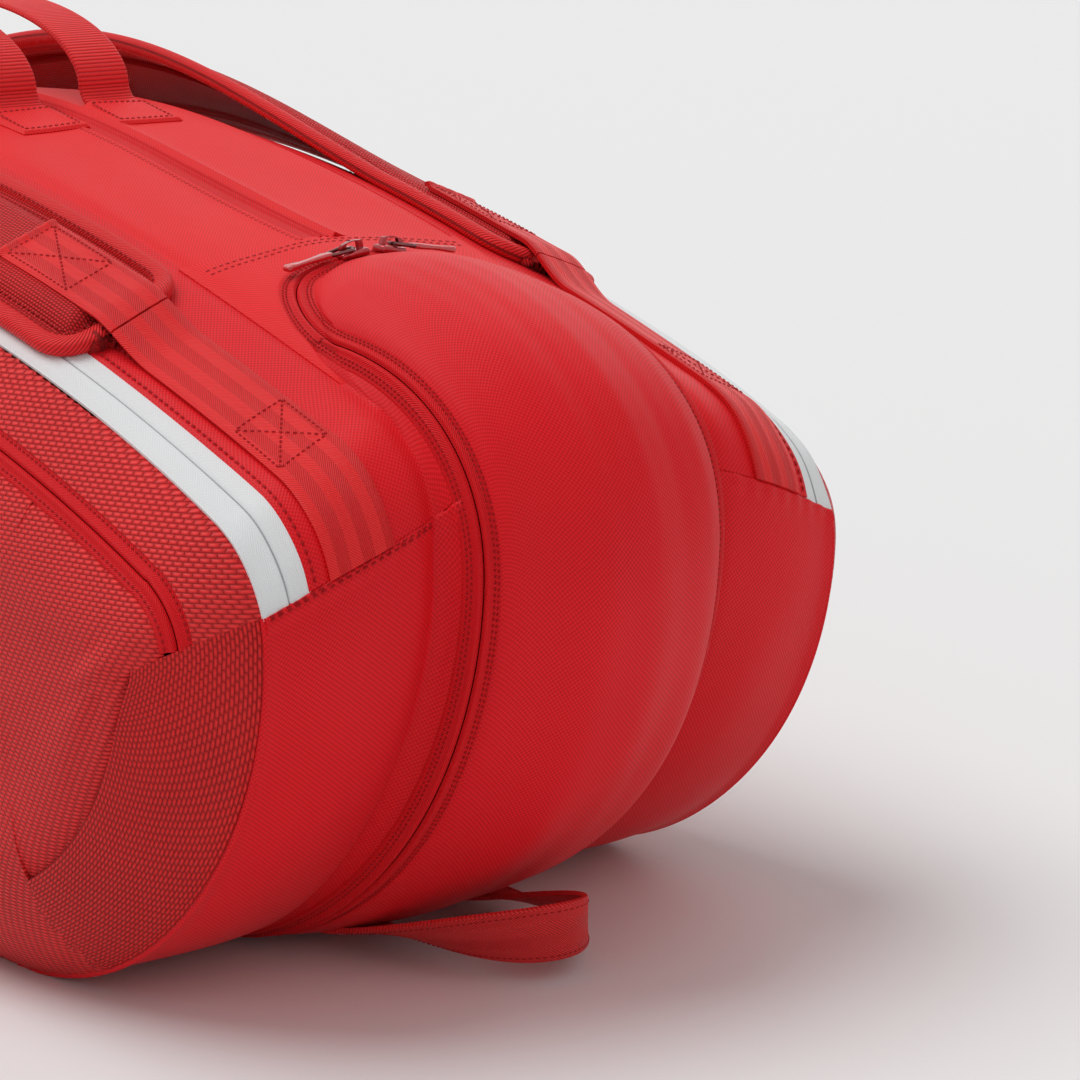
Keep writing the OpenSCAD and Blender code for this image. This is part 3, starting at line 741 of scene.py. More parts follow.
@dataclass
class Trail:
    """A path laid on a surface, with places to either side of it.

    Offsets are positive to the left of the path, seen from outside.
    """

    surface: Field
    a: Array
    b: Array
    steps: tuple[float, float] = (0.004, 0.5)
    flip: float = 1.0
    spacing: float = 1.5

    def __post_init__(self) -> None:
        """Spaces the path evenly and finds the way across it at each point."""
        a, b = np.asarray(self.a, float), np.asarray(self.b, float)
        p = self.surface(a, b)
        run = runs(p)
        n = max(8, int(run[-1] / self.spacing))
        t = np.linspace(0, run[-1], n)
        self.t, self.length = t / run[-1], run[-1]
        self.a, self.b = np.interp(t, run, a), np.interp(t, run, b)
        ea, eb = self.steps
        ja = (self.surface(self.a + ea, self.b) - self.surface(self.a - ea, self.b)) / (2 * ea)
        jb = (self.surface(self.a, self.b + eb) - self.surface(self.a, self.b - eb)) / (2 * eb)
        tangent = unit(np.gradient(self.surface(self.a, self.b), axis=0))
        up = unit(np.cross(ja, jb)) * self.flip
        across = unit(np.cross(up, tangent))
        aa, ab, bb = (ja * ja).sum(-1), (ja * jb).sum(-1), (jb * jb).sum(-1)
        ra, rb = (ja * across).sum(-1), (jb * across).sum(-1)
        det = np.maximum(aa * bb - ab * ab, 1e-9)
        self.da, self.db = (bb * ra - ab * rb) / det, (aa * rb - ab * ra) / det
        self.up = up

    def at(self, t: Array, off: Array) -> Array:
        """Point at share t of the path and off to its left."""
        def look(values: Array) -> Array:
            return np.interp(t, self.t, values)

        ta = look(self.a) + look(self.da) * off
        tb = look(self.b) + look(self.db) * off
        step = np.gradient(self.a)[0] * len(self.t), np.gradient(self.b)[0] * len(self.t)
        over = np.minimum(t, 0) + np.maximum(t - 1, 0)
        last = np.gradient(self.a)[-1] * len(self.t), np.gradient(self.b)[-1] * len(self.t)
        ta = ta + over * np.where(t < 0, step[0], last[0])
        tb = tb + over * np.where(t < 0, step[1], last[1])
        return self.surface(ta, tb)

    def band(self, o0: float, o1: float) -> Field:
        """The strip between two offsets, for Maker.shell."""
        return lambda u, v: self.at(u, mix(o0, o1, v))

    def row(self, off: float, h: float = 0.0) -> tuple[Array, Array]:
        """A line at one offset, raised by h, with the normals along it."""
        n = max(6, int(self.length / 2))
        t = np.linspace(0.0, 1.0, n)
        p = self.at(t, np.full(n, float(off)))
        q = self.at(t, np.full(n, off + 0.5))
        up = unit(np.cross(unit(np.gradient(p, axis=0)), unit(q - p)))
        return p + up * h, up


def skin_line(s0: float, s1: float, y: float) -> Trail:
    """A trail along the skin from s0 to s1 at y."""
    n = 120
    return Trail(SHAPE.skin, np.linspace(s0, s1, n), np.full(n, y))


def lips(half: float, base: float = 0.8, rise: float = 1.0, at: float = 1.4) -> Field:
    """Height across half a zip tape: v runs from the coil to the outer edge."""
    def height(u: Array, v: Array) -> Array:
        d = v * half
        edge = 1 - np.clip((d - half + 0.9) / 0.9, 0, 1) ** 2
        fold = np.clip(d / 0.7, 0, 1) ** 0.5
        return (base + rise * bell(d - at, 1.1)) * edge * (0.25 + 0.75 * fold)

    return height


def back(h: Field) -> Field:
    """The same height with v running the other way."""
    return lambda u, v: h(u, 1 - v)


class Side(Enum):
    """Left is -Y, right is +Y."""

    LEFT = -1
    RIGHT = 1

    @property
    def word(self) -> str:
        """Its name in piece and body names."""
        return self.name.lower()


def lid_hold(side: Side, x: float) -> Hold:
    """Cloth at one end of a lid, sewn to the end panel, between the carcass and the lid."""
    k = 1 if x > 0 else -1
    return Hold("carcass", f"{side.word}_lid", (0.350 * k, 0, 0), (0.276 * k, 0, 0))


def pocket_hold(side: Side, x: float) -> Hold:
    """Cloth of a pocket, between the lid and the pocket."""
    k = 1 if x > 0 else -1
    return Hold(f"{side.word}_lid", f"{side.word}_pocket", (0.258 * k, 0, 0), (0.15 * k, 0, 0))


# ---------------------------------------------------------------- the carcass


@dataclass(frozen=True)
class Carcass:
    """The end panels, the lobes' tops, the bottom and the dividers."""

    tape_w: float = 16.0
    lap: float = 1.3
    seam_rows: tuple[float, float] = (2.4, 5.2)
    facing_rows: tuple[float, float] = (3.4, 9.5)

    def lap_height(self, u: Array, v: Array) -> Array:
        """An end panel's folded upper edge."""
        d = u * SHAPE.end_run
        return self.lap * np.clip(d / 0.8, 0, 1) ** 0.5 * (1 - smooth(3, 16, d)) - 0.4 * bell(d - 5.2, 1.2)

    def build(self) -> None:
        """Builds every panel."""
        for side in Side:
            self.lobe(side)
            self.ends(side)
            self.divider(side)
        self.middle()
        self.bottom()

    def lobe(self, side: Side) -> None:
        """The top of one outer lobe, with its topstitched facing beside the main zip."""
        k, w = side.value, side.word
        y0, y1 = SHAPE.crease_y, SHAPE.edge_y - self.tape_w

        def cloth(u: Array, v: Array) -> Array:
            s = mix(-SHAPE.seam_s, SHAPE.seam_s, u)
            inner = mix(y0, DOOR.frame_y(s) - 3.0, smooth(0.9, 0.98, s))
            return SHAPE.skin(s, k * mix(inner, y1, v))

        def height(u: Array, v: Array) -> Array:
            d = (1 - v) * (y1 - y0)
            edge = (0.5 + 0.9 * bell(d, 5.0)) * np.clip(d / 0.9, 0, 1) ** 0.5 - 0.4 * bell(d - 3.4, 0.9)
            near = smooth(0.93, 1.0, mix(-SHAPE.seam_s, SHAPE.seam_s, u))
            under = (1 - smooth(0, 4.5, v * (y1 - y0))) * near
            return edge - 0.4 * bell(d - 9.5, 1.0) - 0.9 * under

        MAKE.shell(f"{w}_top_cloth", cloth, 300, 40, NYLON, Hold("carcass"), height,
                   stands_for=[f"{w}_top_panel"], turned=k < 0)
        rows = []
        for d in self.facing_rows:
            line = skin_line(-SHAPE.seam_s + 0.02, SHAPE.seam_s - 0.02, k * (y1 - d))
            rows.append(line.row(0, 1.1))
        MAKE.stitches(f"{w}_facing_stitches", rows, Hold("carcass"), "red_nylon")

    def ends(self, side: Side) -> None:
        """The near and far end panels of one outer lobe."""
        k, w = side.value, side.word
        for end, name in ((1, "near"), (-1, "far")):
            def cloth(u: Array, v: Array) -> Array:
                s = mix(SHAPE.seam_s, 3.0, u)
                inner = DOOR.frame_y(s) - 3.0 if end > 0 else SHAPE.crease_y - 1.0
                return SHAPE.skin(end * s, k * mix(inner, SHAPE.edge_y, v))

            def height(u: Array, v: Array) -> Array:
                corner = 1.0 * bell((1 - v) * 70, 3.0) * smooth(0, 0.05, u)
                pucker = 0.28 * np.sin(v * 58) * bell(u * SHAPE.end_run - 4, 9)
                under = 1 - smooth(0, 4.5, v * 70) if end > 0 else 0.0
                return self.lap_height(u, v) + corner + pucker - 0.9 * under

            MAKE.shell(f"{w}_{name}_end_cloth", cloth, 110, 48, NYLON, Hold("carcass"), height,
                       stands_for=[f"{w}_{name}_end_panel"], turned=k * end < 0, uv_turn=True)
            rows = []
            for d in self.seam_rows:
                s = end * (SHAPE.seam_s + d / SHAPE.end_run)
                n = 60
                ys = k * np.linspace(SHAPE.crease_y + 3, SHAPE.edge_y - 1, n)
                rows.append(Trail(SHAPE.skin, np.full(n, s), ys).row(0, 1.35 * k * -end))
            rows = [(p, u * k * -end) for p, u in rows]
            MAKE.stitches(f"{w}_{name}_seam_stitches", rows, Hold("carcass"), "red_nylon")
            s = end * np.linspace(SHAPE.seam_s + 0.004, 2.99, 150)
            y = np.full(150, k * (SHAPE.edge_y + 0.2))
            MAKE.sweep(f"{w}_{name}_seam_welt", SHAPE.skin(s, y), SHAPE.normal(s, y), circle(1.25, 10), NYLON,
                       Hold("carcass"))

    def divider(self, side: Side) -> None:
        """The padded wall between the centre and an outer compartment."""
        k, w = side.value, side.word
        y = k * (SHAPE.crease_y - 1.0)
        MAKE.shell(f"{w}_divider_pad", self.wall(1, y, 5.0), 60, 24, LINING, Hold("carcass"),
                   lambda u, v: 0.5 * np.abs(np.sin(u * 38)) * np.abs(np.sin(v * 16)), 2.4,
                   [f"{w}_divider"], turned=True)

    @staticmethod
    def wall(which: int, y: float, inset: float, reach: float = 1.0) -> Field:
        """A flat wall inside one outline."""
        def at(s: Array) -> Array:
            r = np.abs(s)
            p = SHAPE.on(which, np.minimum(r, 3.0))
            x = np.where(r > 3, (4 - r) * SHAPE.floor_l / 2, p[..., 0])
            x = np.where(s < 0, -x * SHAPE.far_k, x)
            return np.stack([x, 0 * x + y, np.where(r > 3, 0.0, p[..., 1])], -1)

        def field_(u: Array, v: Array) -> Array:
            q = 2 * u - 1
            upper = at(1.9 * q)
            sign = np.where(q < 0, -1.0, 1.0)
            lower = at(sign * mix(4.0, 1.9, np.abs(q)))
            p = upper * (1 - v[..., None]) + lower * v[..., None]
            mid = np.array([0, y, 140.0])
            size = np.array([reach * (1 - inset / 380), 1, 1 - inset / 140])
            return mid + (p - mid) * size

        return field_

    def middle(self) -> None:
        """The centre lobe's top in front of and behind the flaps, and its far end."""
        c = SHAPE.crease_y

        def rear(u: Array, v: Array) -> Array:
            y = mix(-c, c, v)
            return SHAPE.skin(mix(-SHAPE.seam_s, SHAPE.s_at(-150.0 + 0 * y, y), u), y)

        MAKE.shell("centre_rear_cloth", rear, 90, 60, NYLON, Hold("carcass"),
                   lambda u, v: 0.7 + 0 * u, stands_for=["centre_rear_top_panel"])

        def front(u: Array, v: Array) -> Array:
            y = mix(-c - 1.5, c + 1.5, v)
            inner = DOOR.outer_s(y)
            return SHAPE.skin(mix(SHAPE.s_at(222.0 - 0 * y, y), inner, u), y)

        MAKE.shell("centre_front_cloth", front, 24, 90, FLAP_CLOTH, Hold("carcass"),
                   lambda u, v: 1.0 * np.clip((1 - u) * 20, 0, 1) ** 0.5,
                   stands_for=["centre_front_top_panel"])

        def far(u: Array, v: Array) -> Array:
            return SHAPE.skin(-mix(SHAPE.seam_s, 3.0, u), mix(-c, c, v))

        MAKE.shell("centre_far_cloth", far, 100, 60, NYLON, Hold("carcass"), self.lap_height,
                   stands_for=["centre_far_panel"], turned=True, uv_turn=True)
        rows = []
        for d in self.seam_rows:
            ys = np.linspace(-c + 2, c - 2, 70)
            line = Trail(SHAPE.skin, np.full(70, -SHAPE.seam_s - d / SHAPE.end_run), ys)
            rows.append(line.row(0, 1.35))
        MAKE.stitches("far_seam_stitches", rows, Hold("carcass"), "red_nylon")
        seam = []
        for d in (2.0, 5.0):
            ys = np.linspace(-c + 5, c - 5, 60)
            xs = 224.0 + d + 4 * (np.abs(ys) / c) ** 2
            line = Trail(lambda x, y: SHAPE.skin(SHAPE.s_at(x, y), y), xs, ys, (0.5, 0.5))
            seam.append(line.row(0, 0.9))
        MAKE.stitches("front_seam_stitches", seam, Hold("carcass"), "red_nylon")

    def bottom(self) -> None:
        """The bottom cloth."""
        x0, x1 = -SHAPE.floor_l / 2 * SHAPE.far_k, SHAPE.floor_l / 2

        def cloth(u: Array, v: Array) -> Array:
            x, y = mix(x0, x1, u), mix(-SHAPE.edge_y, SHAPE.edge_y, v)
            return np.stack([x, y, 0 * x + 0.3], -1)

        MAKE.shell("bottom_cloth", cloth, 60, 40, NYLON, Hold("carcass"),
                   lambda u, v: -0.2 + 0 * u, 1.5, ["bottom_panel"], turned=True)
        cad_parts["base_board"].data.materials.clear()
        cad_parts["base_board"].data.materials.append(BOARD.make())


@dataclass(frozen=True)
class EndDoor:
    """The door at the near end, in its U-shaped zip."""

    tape: float = 7.2
    round_by: int = 17
    cover: float = 5.6

    @cached_property
    def trail(self) -> Trail:
        """The zip's line, up the left side, over the top and down the right side."""
        h = SHAPE.door_half
        leg = np.linspace(2.93, 0.95, 160)
        y = np.linspace(-h, h, 90)
        top = SHAPE.door_s(y) + 0.005 + 0.08 * smooth(38, h, np.abs(y))
        s = np.concatenate([leg, top, leg[::-1]])
        b = np.concatenate([np.full(160, -h), y, np.full(160, h)])
        run = np.concatenate([[0], np.cumsum(np.hypot(np.diff(s) * SHAPE.end_run, np.diff(b)))])
        t = np.linspace(0, run[-1], int(run[-1]))
        s, b = np.interp(t, run, s), np.interp(t, run, b)
        w = np.ones(self.round_by) / self.round_by
        for _ in range(2):
            pad = self.round_by // 2
            s = np.convolve(np.pad(s, pad, mode="edge"), w, "valid")
            b = np.convolve(np.pad(b, pad, mode="edge"), w, "valid")
        return Trail(SHAPE.skin, s, b)

    def line(self, off: float) -> tuple[Array, Array, Array, Array]:
        """The right half of the zip's line moved by off: (y, s) over the top, then (s, y) down the leg."""
        t = self.trail
        half = len(t.a) // 2
        s, y = (t.a + t.da * off)[half:], (t.b + t.db * off)[half:]
        turn = int(np.argmax(t.b[half:] > SHAPE.door_half - 0.8))
        return y[:turn + 1], s[:turn + 1], s[turn:], y[turn:]

    def frame_y(self, s: Array) -> Array:
        """|y| where the end panels meet the zip."""
        _, _, ls, ly = self.line(self.cover)
        order = np.argsort(ls)
        return np.interp(s, ls[order], ly[order])

    def outer_s(self, y: Array) -> Array:
        """s where the cloth in front of the flaps meets the zip."""
        ys, ss, _, _ = self.line(self.cover)
        return np.interp(np.abs(y), ys, ss)

    def hold(self) -> Hold:
        """The door's pieces lie between the carcass and the door, at its fold."""
        return Hold("carcass", "end_door", (0.36, 0, 0.046), (0.36, 0, 0.086))

    def build(self) -> None:
        """Builds the zip, the door and the cloth round it."""
        t = self.trail
        MAKE.shell("door_frame_tape", t.band(0.18, self.tape), 560, 16, ZIP_TAPE, Hold("carcass"),
                   lips(self.tape), stands_for=["door_surround"])
        MAKE.shell("door_moving_tape", t.band(-self.tape, -0.18), 560, 16, ZIP_TAPE, self.hold(),
                   back(lips(self.tape)), stands_for=["door_tape"])
        MAKE.stitches("door_frame_tape_stitches", [t.row(3.9, 1.0), t.row(5.2, 0.9)], Hold("carcass"),
                      "red_zip_tape", 2.2, 1.5, 0.3)
        MAKE.stitches("door_tape_stitches", [t.row(-3.9, 1.0), t.row(-5.2, 0.9)], self.hold(),
                      "red_zip_tape", 2.2, 1.5, 0.3)
        ys, ss, _, ly = self.line(-self.cover)
        lim = float(ly.max())

        def across(v: Array) -> Array:
            return np.sin((v - 0.5) * math.pi * 0.94) / math.sin(0.47 * math.pi)

        def door(u: Array, v: Array) -> Array:
            y = lim * across(v)
            return SHAPE.skin(mix(np.interp(np.abs(y), ys, ss), 3.0, u), y)

        def swell(u: Array, v: Array) -> Array:
            q = across(v)
            edge = np.minimum((1 - np.abs(q)) * lim, u * 330)
            roll = 2.3 * (1 - np.exp(-edge / 1.6)) + 1.2 * smooth(0, 26, edge)
            fold = 0.8 * np.sin(q * 5.4 + 1.1 + u * 2.2) + 0.4 * np.sin(q * 11.0 - u * 3.0 + 0.6)
            fold *= smooth(0.03, 0.3, u)
            fine = 0.09 * np.sin(q * 31.0 + 3.0 * np.sin(u * 5.0))
            fold += fine * smooth(0.03, 0.12, u) * (1 - smooth(0.35, 0.55, u))
            fold *= 1 - smooth(0.72, 1.0, u)
            low = 0.5 * np.sin(u * 19 + q * 2) * smooth(0.3, 0.6, u) * (1 - smooth(0.8, 1, u))
            return roll * (1 - 0.8 * smooth(0.9, 1, u)) + (fold + low) * smooth(0, 12, edge)

        MAKE.shell("door_cloth", door, 260, 150, NYLON, self.hold(), swell,
                   stands_for=["end_door", "door_foot"], uv_turn=True)


@dataclass(frozen=True)
class MainZip:
    """The white zip of one outer compartment."""

    side: Side
    fixed_y: tuple[float, float] = (126.6, 117.6)
    coil_y: float = 126.7
    lid_y: tuple[float, float] = (126.8, 136.6)

    def build(self) -> None:
        """Builds both halves of the tape and the line of the coil."""
        k, w = self.side.value, self.side.word
        s = SHAPE.seam_s + 0.02
        lid = Hold(f"{w}_lid")
        near, far = (float(SHAPE.s_at(x, SHAPE.edge_y)) for x in (SHAPE.split_x, -SHAPE.split_x))

        def tape(s0: float, s1: float, y: tuple[float, float]) -> Field:
            return lambda u, v: SHAPE.skin(mix(s0, s1, u), k * mix(*y, v))

        fixed = lips(9.4, 0.7, 0.25, 1.0)
        MAKE.shell(f"{w}_zip_fixed_tape", tape(-s, s, self.fixed_y), 260, 8, WHITE_TAPE,
                   Hold("carcass"), fixed, stands_for=[f"{w}_main_tape"], turned=k > 0)

        def moving(u: Array, v: Array) -> Array:
            return 0.7 + 0.35 * bell(v * 10 - 0.8, 0.8) + 0.5 * bell((1 - v) * 10, 2.0)

        spans = ((-s, far, lid_hold(self.side, -1)), (far, near, lid),
                 (near, s, lid_hold(self.side, 1)))
        for i, (s0, s1, hold) in enumerate(spans):
            MAKE.shell(f"{w}_zip_lid_tape_{i}", tape(s0, s1, self.lid_y), 90, 12, WHITE_TAPE,
                       hold, moving, stands_for=[f"{w}_lid_tape"], turned=k < 0)
        line = skin_line(-s + 0.02, s - 0.02, k * self.coil_y)
        p, up = line.row(0, 0.55)
        MAKE.sweep(f"{w}_zip_coil", p, up, circle(0.42, 6), GREY_THREAD, Hold("carcass"))


def circle(r: float, n: int, flat: float = 1.0) -> Array:
    """A round profile."""
    a = np.arange(n) * 2 * math.pi / n
    return np.stack([r * np.cos(a), r * flat * np.sin(a)], -1)


# ---------------------------------------------------------------- lids and side pockets


@dataclass(frozen=True)
class SideLid:
    """One side of the bag: the strip under the main zip, the pocket, its zip and the gussets."""

    side: Side
    zip_d: float = 22.0
    tape: float = 7.0
    ridge: float = 38.0
    spine_x: float = 240.0

    @property
    def turned(self) -> bool:
        """Which way the side's grids face."""
        return self.side is Side.LEFT

    def rays(self, s: Array) -> tuple[Array, Array, Array]:
        """Each outline place, the way from it to the middle line, and that way's depth."""
        p = self.rim(s)
        far = np.maximum(np.abs(p[..., 0]) - self.spine_x, 0)
        x = np.clip(p[..., 0], -self.spine_x, self.spine_x) + 0.5 * np.sign(p[..., 0]) * far
        way = np.stack([x, 124.0 + 0 * x], -1) - p
        e = 0.01
        t = self.rim(np.clip(s + e, -4, 4)) - self.rim(np.clip(s - e, -4, 4))
        n = unit(np.stack([t[..., 1], -t[..., 0]], -1))
        return p, way, np.maximum((n * way).sum(-1), 1e-6)

    def lift(self, q: Array, rim: Array) -> Array:
        """The side's point over each (x, z); rim is True on the outline itself."""
        flat = q.reshape(-1, 2)
        edge = self.edge_points
        d = np.concatenate([np.sqrt(((c[:, None] - edge[None]) ** 2).sum(-1)).min(1)
                            for c in np.array_split(flat, max(1, len(flat) // 2000))]).reshape(q.shape[:-1])
        y = SHAPE.edge_y + 0.4 + SHAPE.depth_y(np.where(rim, 0, d))
        return np.stack([q[..., 0], self.side.value * y, q[..., 1]], -1)

    def place(self, s: Array, d: Array) -> Array:
        """Point of this side at outline place s and depth d."""
        s, d = np.broadcast_arrays(np.asarray(s, float), np.asarray(d, float))
        p, way, lean = self.rays(s)
        return self.lift(p + way * (d / lean)[..., None], d < 0)

    @cached_property
    def edge_points(self) -> Array:
        """Points of the outline, for distances."""
        s = np.linspace(-4, 4, 700)
        return self.rim(s)

    @staticmethod
    def rim(s: Array) -> Array:
        """The side's outline (x, z), closed along the floor past s = 3."""
        r = np.abs(s)
        p = SHAPE.on(0, np.minimum(r, 3.0))
        x = np.where(r > 3, (4 - r) * SHAPE.floor_l / 2, p[..., 0])
        return np.stack([np.where(s < 0, -x * SHAPE.far_k, x), np.where(r > 3, 0.0, p[..., 1])], -1)

    def fan(self, s0: float, s1: float, d0: float, d1: Optional[float]) -> Field:
        """The side between two outline places, from depth d0 to d1 or the middle line."""
        def field_(u: Array, v: Array) -> Array:
            p, way, lean = self.rays(mix(s0, s1, u))
            w = mix(d0 / lean, 1.0 if d1 is None else d1 / lean, v)
            return self.lift(p + way * w[..., None], w < 0)

        return field_

    def panel(self, name: str, s: tuple[float, float], d: tuple[float, Optional[float]],
              cells: tuple[int, int], hold: Hold, finish: ClothFinish, stands_for: Sequence[str],
              flat_map: bool) -> None:
        """One panel of the side, with its edges drawn into their seams."""
        def height(u: Array, v: Array) -> Array:
            q = self.fan(s[0], s[1], d[0], d[1])
            row = q(u[:1, :], v[:1, :])[..., [0, 2]]
            a = v * np.linalg.norm(row[0, 0] - row[0, -1])
            tuck = -1.2 * bell(a, 2.2) + 0.5 * smooth(0, 14, a)
            if d[1] is not None:
                return 1.0 + tuck
            sag = 1.1 * np.sin(v * 5 + u * 7) * smooth(0.15, 0.5, v) * (1 - smooth(0.6, 0.95, v))
            return 1.0 + tuck + sag * np.sin(math.pi * u)

        w = self.side.word
        MAKE.shell(f"{w}_{name}", self.fan(s[0], s[1], d[0], d[1]), cells[0], cells[1], finish,
                   hold, height, stands_for=stands_for, turned=self.turned, planar=flat_map)

    def build(self) -> None:
        """Builds the strip, the pocket, the gussets, the pocket's zip and the lid's inner wall."""
        w, g = self.side.word, SHAPE.seam_s
        lid = Hold(f"{w}_lid")
        sn, sf = (float(SHAPE.s_at(x, SHAPE.edge_y)) for x in (SHAPE.split_x, -SHAPE.split_x))
        bn, bf = self.low_s(SHAPE.split_x), -self.low_s(SHAPE.split_x / SHAPE.far_k)
        near, far = lid_hold(self.side, 1), lid_hold(self.side, -1)
        pn, pf = pocket_hold(self.side, 1), pocket_hold(self.side, -1)
        z = self.zip_d
        strip = [f"{w}_side_strip"]
        for name, s0, s1, hold, n in (("strip_near", sn, g, near, 90), ("strip_middle", sf, sn, lid, 220),
                                      ("strip_far", -g, sf, far, 90)):
            self.panel(name, (s0, s1), (0.2, z - 4.6), (n, 14), hold, BASKET, strip, True)
        body = [f"{w}_side_pocket"]
        high, wide, low = (z + 4.6, None), (0.2, self.ridge), (self.ridge, None)
        for name, span, depth, cells, hold in (
                ("pocket_near", (sn, g), high, (90, 44), near),
                ("pocket_front", (0.0, sn), high, (110, 44), pn),
                ("pocket_back", (sf, 0.0), high, (110, 44), pf),
                ("pocket_far", (-g, sf), high, (90, 44), far),
                ("gusset_near", (g, bn + 0.02), wide, (120, 24), near),
                ("gusset_far", (bf - 0.02, -g), wide, (120, 24), far),
                ("low_near", (g, bn + 0.02), low, (90, 30), near),
                ("low_far", (bf - 0.02, -g), low, (90, 30), far),
                ("low_front", (bn, 3.999), (0.2, None), (80, 44), pn),
                ("low_back", (-3.999, bf), (0.2, None), (80, 44), pf)):
            # The gusset panels take the darker copy of the basket weave, which is painted shade.
            fold = name.startswith("gusset")
            self.panel(name, span, depth, cells, hold, SHADED_GUSSET if fold else BASKET, body, not fold)
        self.zip(sn, sf, near, far, lid, pn, pf)
        MAKE.shell(f"{w}_lid_lining", Carcass.wall(0, self.side.value * (SHAPE.edge_y + 1.9), 14.0, 0.76),
                   60, 24, LINING, lid, lambda u, v: 0.3 * np.abs(np.sin(u * 30)), 2.2, [f"{w}_side_panel"],
                   turned=True)

    def low_s(self, x: float) -> float:
        """s of the outline's lower part at x."""
        s = np.linspace(2.0, 4.0, 2001)
        return float(np.interp(-x, -self.rim(s)[:, 0], s))

    def zip(self, sn: float, sf: float, near: Hold, far: Hold, lid: Hold, pn: Hold, pf: Hold) -> None:
        """The pocket's zip: the upper half of its tape on the lid and the lower half on the pocket."""
        w, g, z = self.side.word, SHAPE.seam_s, self.zip_d
        k = -1 if self.side is Side.LEFT else 1
        up = lips(self.tape, 1.0, 0.9)

        def line(s0: float, s1: float) -> Trail:
            n = 160
            return Trail(self.place, np.linspace(s0, s1, n), np.full(n, z), (0.004, 0.5), flip=float(k))

        for name, s0, s1, high, low in (("near", sn, g + 0.004, near, near), ("front", 0.0, sn, lid, pn),
                                        ("back", sf, 0.0, lid, pf), ("far", -g - 0.004, sf, far, far)):
            t = line(s0, s1)
            cells = max(60, int(t.length / 1.6))
            halves = (("high", "", high, -k), ("low", "_low", low, k))
            for word, _, hold, o in halves:
                a, b = (0.15, self.tape) if o > 0 else (-self.tape, -0.15)
                MAKE.shell(f"{w}_pocket_zip_{word}_{name}", t.band(a, b), cells, 10, ZIP_TAPE, hold,
                           up if o > 0 else back(up))
            for _, word, hold, o in halves:
                MAKE.stitches(f"{w}_pocket_zip_rows{word}_{name}", [t.row(4.6 * o, 1.2)], hold,
                              "red_zip_tape", 2.6, 1.8, 0.32)


# ---------------------------------------------------------------- the top: flaps and handles


@dataclass(frozen=True)
class TopFlaps:
    """The two flaps over the centre compartment and the zip between them."""

    x0: float = -150.0
    x1: float = 222.0
    tape_y: float = 9.0
    welt_y: float = 3.4
    bend: float = 34.0

    def front(self, y: Array) -> Array:
        """x of the seam in front of the flaps."""
        return self.x1 + 1.0 + 4.0 * (np.abs(y) / SHAPE.crease_y) ** 2

    def patch(self, k: int, y0: float, y1: float, x0: float, x1: float) -> Field:
        """Part of a flap between two distances from the middle, u along X and v outwards."""
        def field_(u: Array, v: Array) -> Array:
            y = k * mix(y0, y1, v)
            near = x1 >= self.x1
            x = mix(x0, self.front(y) if near else x1, u)
            return SHAPE.skin(SHAPE.s_at(x, y), y)

        return field_

    def build(self) -> None:
        """Builds both flaps, their tapes and the coil."""
        for side in Side:
            k, body = side.value, f"{side.word}_flap"
            far = Hold("carcass", body, (-0.150, 0, 0), (-0.118, 0, 0))
            near = Hold("carcass", body, (0.222, 0, 0), (0.190, 0, 0))
            parts = (("far", self.x0, self.x0 + self.bend, far),
                     ("middle", self.x0 + self.bend, self.x1 - self.bend, Hold(body)),
                     ("near", self.x1 - self.bend, self.x1, near))
            inner = self.tape_y if side is Side.LEFT else self.welt_y
            for name, x0, x1, hold in parts:
                n = max(24, int((x1 - x0) / 2))

                def height(u: Array, v: Array) -> Array:
                    d = v * (SHAPE.crease_y - inner)
                    fold = np.clip(d / 0.9, 0, 1) ** 0.5
                    edge = 1.6 if side is Side.LEFT else 3.0
                    body_h = 0.8 + (edge - 0.8) * bell(d, 4.2 if side is Side.LEFT else 5.0)
                    row = -0.35 * bell(d - 3.2, 0.8) if side is Side.LEFT else 0.0
                    return (body_h + row) * fold * (1 - 0.75 * smooth(0.9, 1.0, v))

                MAKE.shell(f"{side.word}_flap_{name}", self.patch(k, inner, SHAPE.crease_y, x0, x1), n, 40,
                           FLAP_CLOTH, hold, height, stands_for=[f"{side.word}_top_flap"], turned=k < 0)
                tape = lips(self.tape_y, 0.5, 1.0, 1.3)
                MAKE.shell(f"{side.word}_flap_tape_{name}", self.patch(k, 0.2, self.tape_y + 0.6, x0, x1),
                           n, 14, ZIP_TAPE, hold, tape, stands_for=["top_zip_coil"], turned=k < 0)
                rows = []
                for off in (2.4, 3.6) if side is Side.LEFT else (3.0,):
                    y = np.full(n, k * (inner + off))
                    x = mix(x0, self.front(y) if x1 >= self.x1 else x1, np.linspace(0, 1, n))
                    p = SHAPE.skin(SHAPE.s_at(x, y), y)
                    q = SHAPE.skin(SHAPE.s_at(x, y + 0.5), y + 0.5)
                    up = unit(np.cross(unit(np.gradient(p, axis=0)), unit(q - p)))
                    rise = 0.9 if side is Side.LEFT else 2.0
                    rows.append((p + up * rise, up))
                MAKE.stitches(f"{side.word}_flap_stitches_{name}", rows, hold, "red_nylon", 2.6, 1.9, 0.34)


